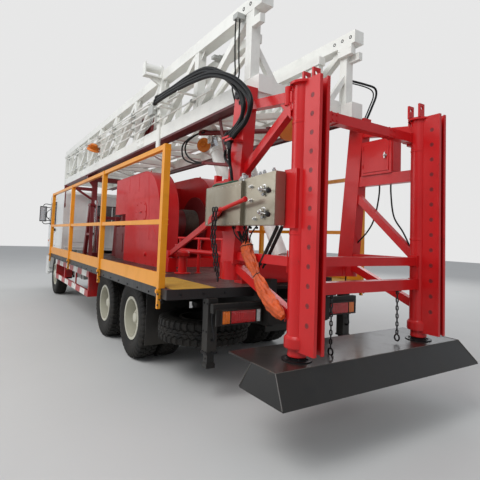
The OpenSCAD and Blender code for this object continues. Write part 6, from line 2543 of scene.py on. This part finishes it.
@dataclass
class Winch:
    """Rope, bolts and fittings of the winch set, and the small A-frame beside it."""

    gear: Pair = (5.9, 6.5)
    drum: Pair = (6.78, 7.22)
    axis: float = 1.9
    deck: float = 1.13
    stand_at: Pair = (6.62, 0.98)

    def build(self) -> None:
        """Builds the winch's pieces."""
        profile = [(0.0, 0.149)]
        for i in range(16):
            for j in range(7):
                profile.append((0.01 + 0.0255 * i + 0.0125 * (1 - math.cos(math.pi * j / 6)),
                    0.15 + 0.0125 * math.sin(math.pi * j / 6)))
        profile.append((0.43, 0.149))
        rope = Shape().turned((self.drum[0], 0.0, self.axis), AHEAD, profile, 40)
        rope.hang("winch_rope", ROPE, "rig", "rod_dark")
        flange = Shape()
        for x in (self.drum[0] - 0.02, self.drum[1]):
            flange.turned((x, 0, self.axis), AHEAD, [(0, 0.152), (0.0, 0.2), (0.018, 0.2), (0.018, 0.152)],
                40)
        for x in (self.gear[0] + 0.08, self.gear[1] - 0.08):
            for y in (-0.26, -0.08, 0.12, 0.3, 0.38):
                flange.bolt((x, y, self.deck + 0.67), UP, 0.011)
        flange.box((self.gear[0] + 0.1, 0.419, self.deck + 0.14),
            (self.gear[1] - 0.1, 0.43, self.deck + 0.54))
        for x in (self.gear[0] + 0.14, self.gear[1] - 0.14):
            for z in (0.18, 0.5):
                flange.bolt((x, 0.43, self.deck + z), LEFT, 0.01)
        flange.turned((self.gear[0] + 0.3, 0.1, self.deck + 0.669), UP,
            [(0, 0.07), (0.02, 0.07), (0.03, 0.05), (0.07, 0.05), (0.08, 0.03)], 20)
        for x in (6.75, 7.25):
            flange.box((x - 0.19, 0.15, self.deck), (x + 0.19, 0.27, self.deck + 0.016))
            for dx in (-0.16, 0.16):
                flange.bolt((x + dx, 0.255, self.deck + 0.016), UP, 0.01)
        flange.hang("winch_fittings", DARK_RED, "rig", "rig_red", 0.001)
        self.stand()

    def stand(self) -> None:
        """Dark red stand with a bright cylinder on the left of the deck."""
        x, y = self.stand_at
        stand = Shape()
        for side in (-1, 1):
            stand.bar((x + side * 0.26, y, self.deck + 0.015), (x + side * 0.05, y - 0.03, 2.26), 0.07, 0.07)
            stand.box((x + side * 0.26 - 0.08, y - 0.07, self.deck),
                (x + side * 0.26 + 0.08, y + 0.07, self.deck + 0.016))
        stand.box((x - 0.11, y - 0.075, 2.22), (x + 0.11, y + 0.02, 2.275))
        stand.bar((x - 0.17, y - 0.012, 1.62), (x + 0.17, y - 0.012, 1.62), 0.05, 0.05)
        stand.box((x - 0.1, y - 0.2, self.deck), (x + 0.1, y - 0.05, self.deck + 0.1))
        stand.bar((x, y - 0.12, 2.2), (x, y - 0.06, 2.25), 0.05, 0.05)
        stand.hang("deck_stand", DARK_RED, "rig", "rig_red", 0.003)
        ram = Shape().turned((x, y - 0.13, self.deck + 0.09), UP,
            [(0, 0.048), (0.02, 0.052), (0.6, 0.052), (0.605, 0.06), (0.65, 0.06), (0.655, 0.026),
            (1.08, 0.026), (1.08, 0.036), (1.13, 0.036)], 28)
        ram.hang("deck_stand_ram", BRIGHT, "rig", "rod_chrome")


@dataclass
class RestDress:
    """Arms, bolts and hanging rod of the mast rest."""

    station: float = 8.15

    def build(self) -> None:
        """Builds the rest's pieces."""
        x = self.station
        shape = Shape()
        for side in (1, -1):
            low, high = sorted((side * 0.56, side * 1.25))
            shape.box((x + 0.02, low, 2.7), (x + 0.09, high, 2.78))
            shape.bar((x + 0.055, side * 0.6, 2.5), (x + 0.055, side * 0.95, 2.71), 0.05, 0.05)
            for dx in (-0.03, 0.14):
                for y in (0.46, 0.62):
                    shape.bolt((x + dx, side * y, 1.15), UP, 0.011)
            shape.plate([(x - 0.001, side * 0.6, 2.95), (x - 0.001, side * 0.6, 2.8),
                (x - 0.001, side * 0.72, 2.95)], (0.01, 0, 0))
        shape.hang("rest_arms", DARK_RED, "rig", "rig_red", 0.003)
        rod = Shape().rod((x + 0.055, 1.22, 2.705), (x + 0.055, 1.22, 2.36), 0.012, 12)
        rod.pipe(arc((x + 0.055, 1.22, 2.305), (0.045, 0, 0), (0, 0, 0.055), 90, 450, 20), 0.012, 10)
        rod.turned((x + 0.055, 1.22, 2.695), UP, [(0, 0.022), (0.1, 0.022), (0.1, 0.0)], 6)
        rod.hang("rest_hook_rod", DARK_RED, "rig", "rig_red")


def main() -> None:
    """Builds the scene in order."""
    bpy.context.scene.view_settings.view_transform = "Standard"
    Studio().build()
    dress_frame()
    for piece in (Wheels(), RearFrame(), BaseBeam(), Console(), BrakeLever(), Mast(), MastHoses(), Crown(),
            DrumGuard(), Cab(), DeckDress(), Tail(), Underside(), Winch(), RestDress()):
        piece.build()
        log.info("built %s", type(piece).__name__)


if __name__ == "__main__":
    main()
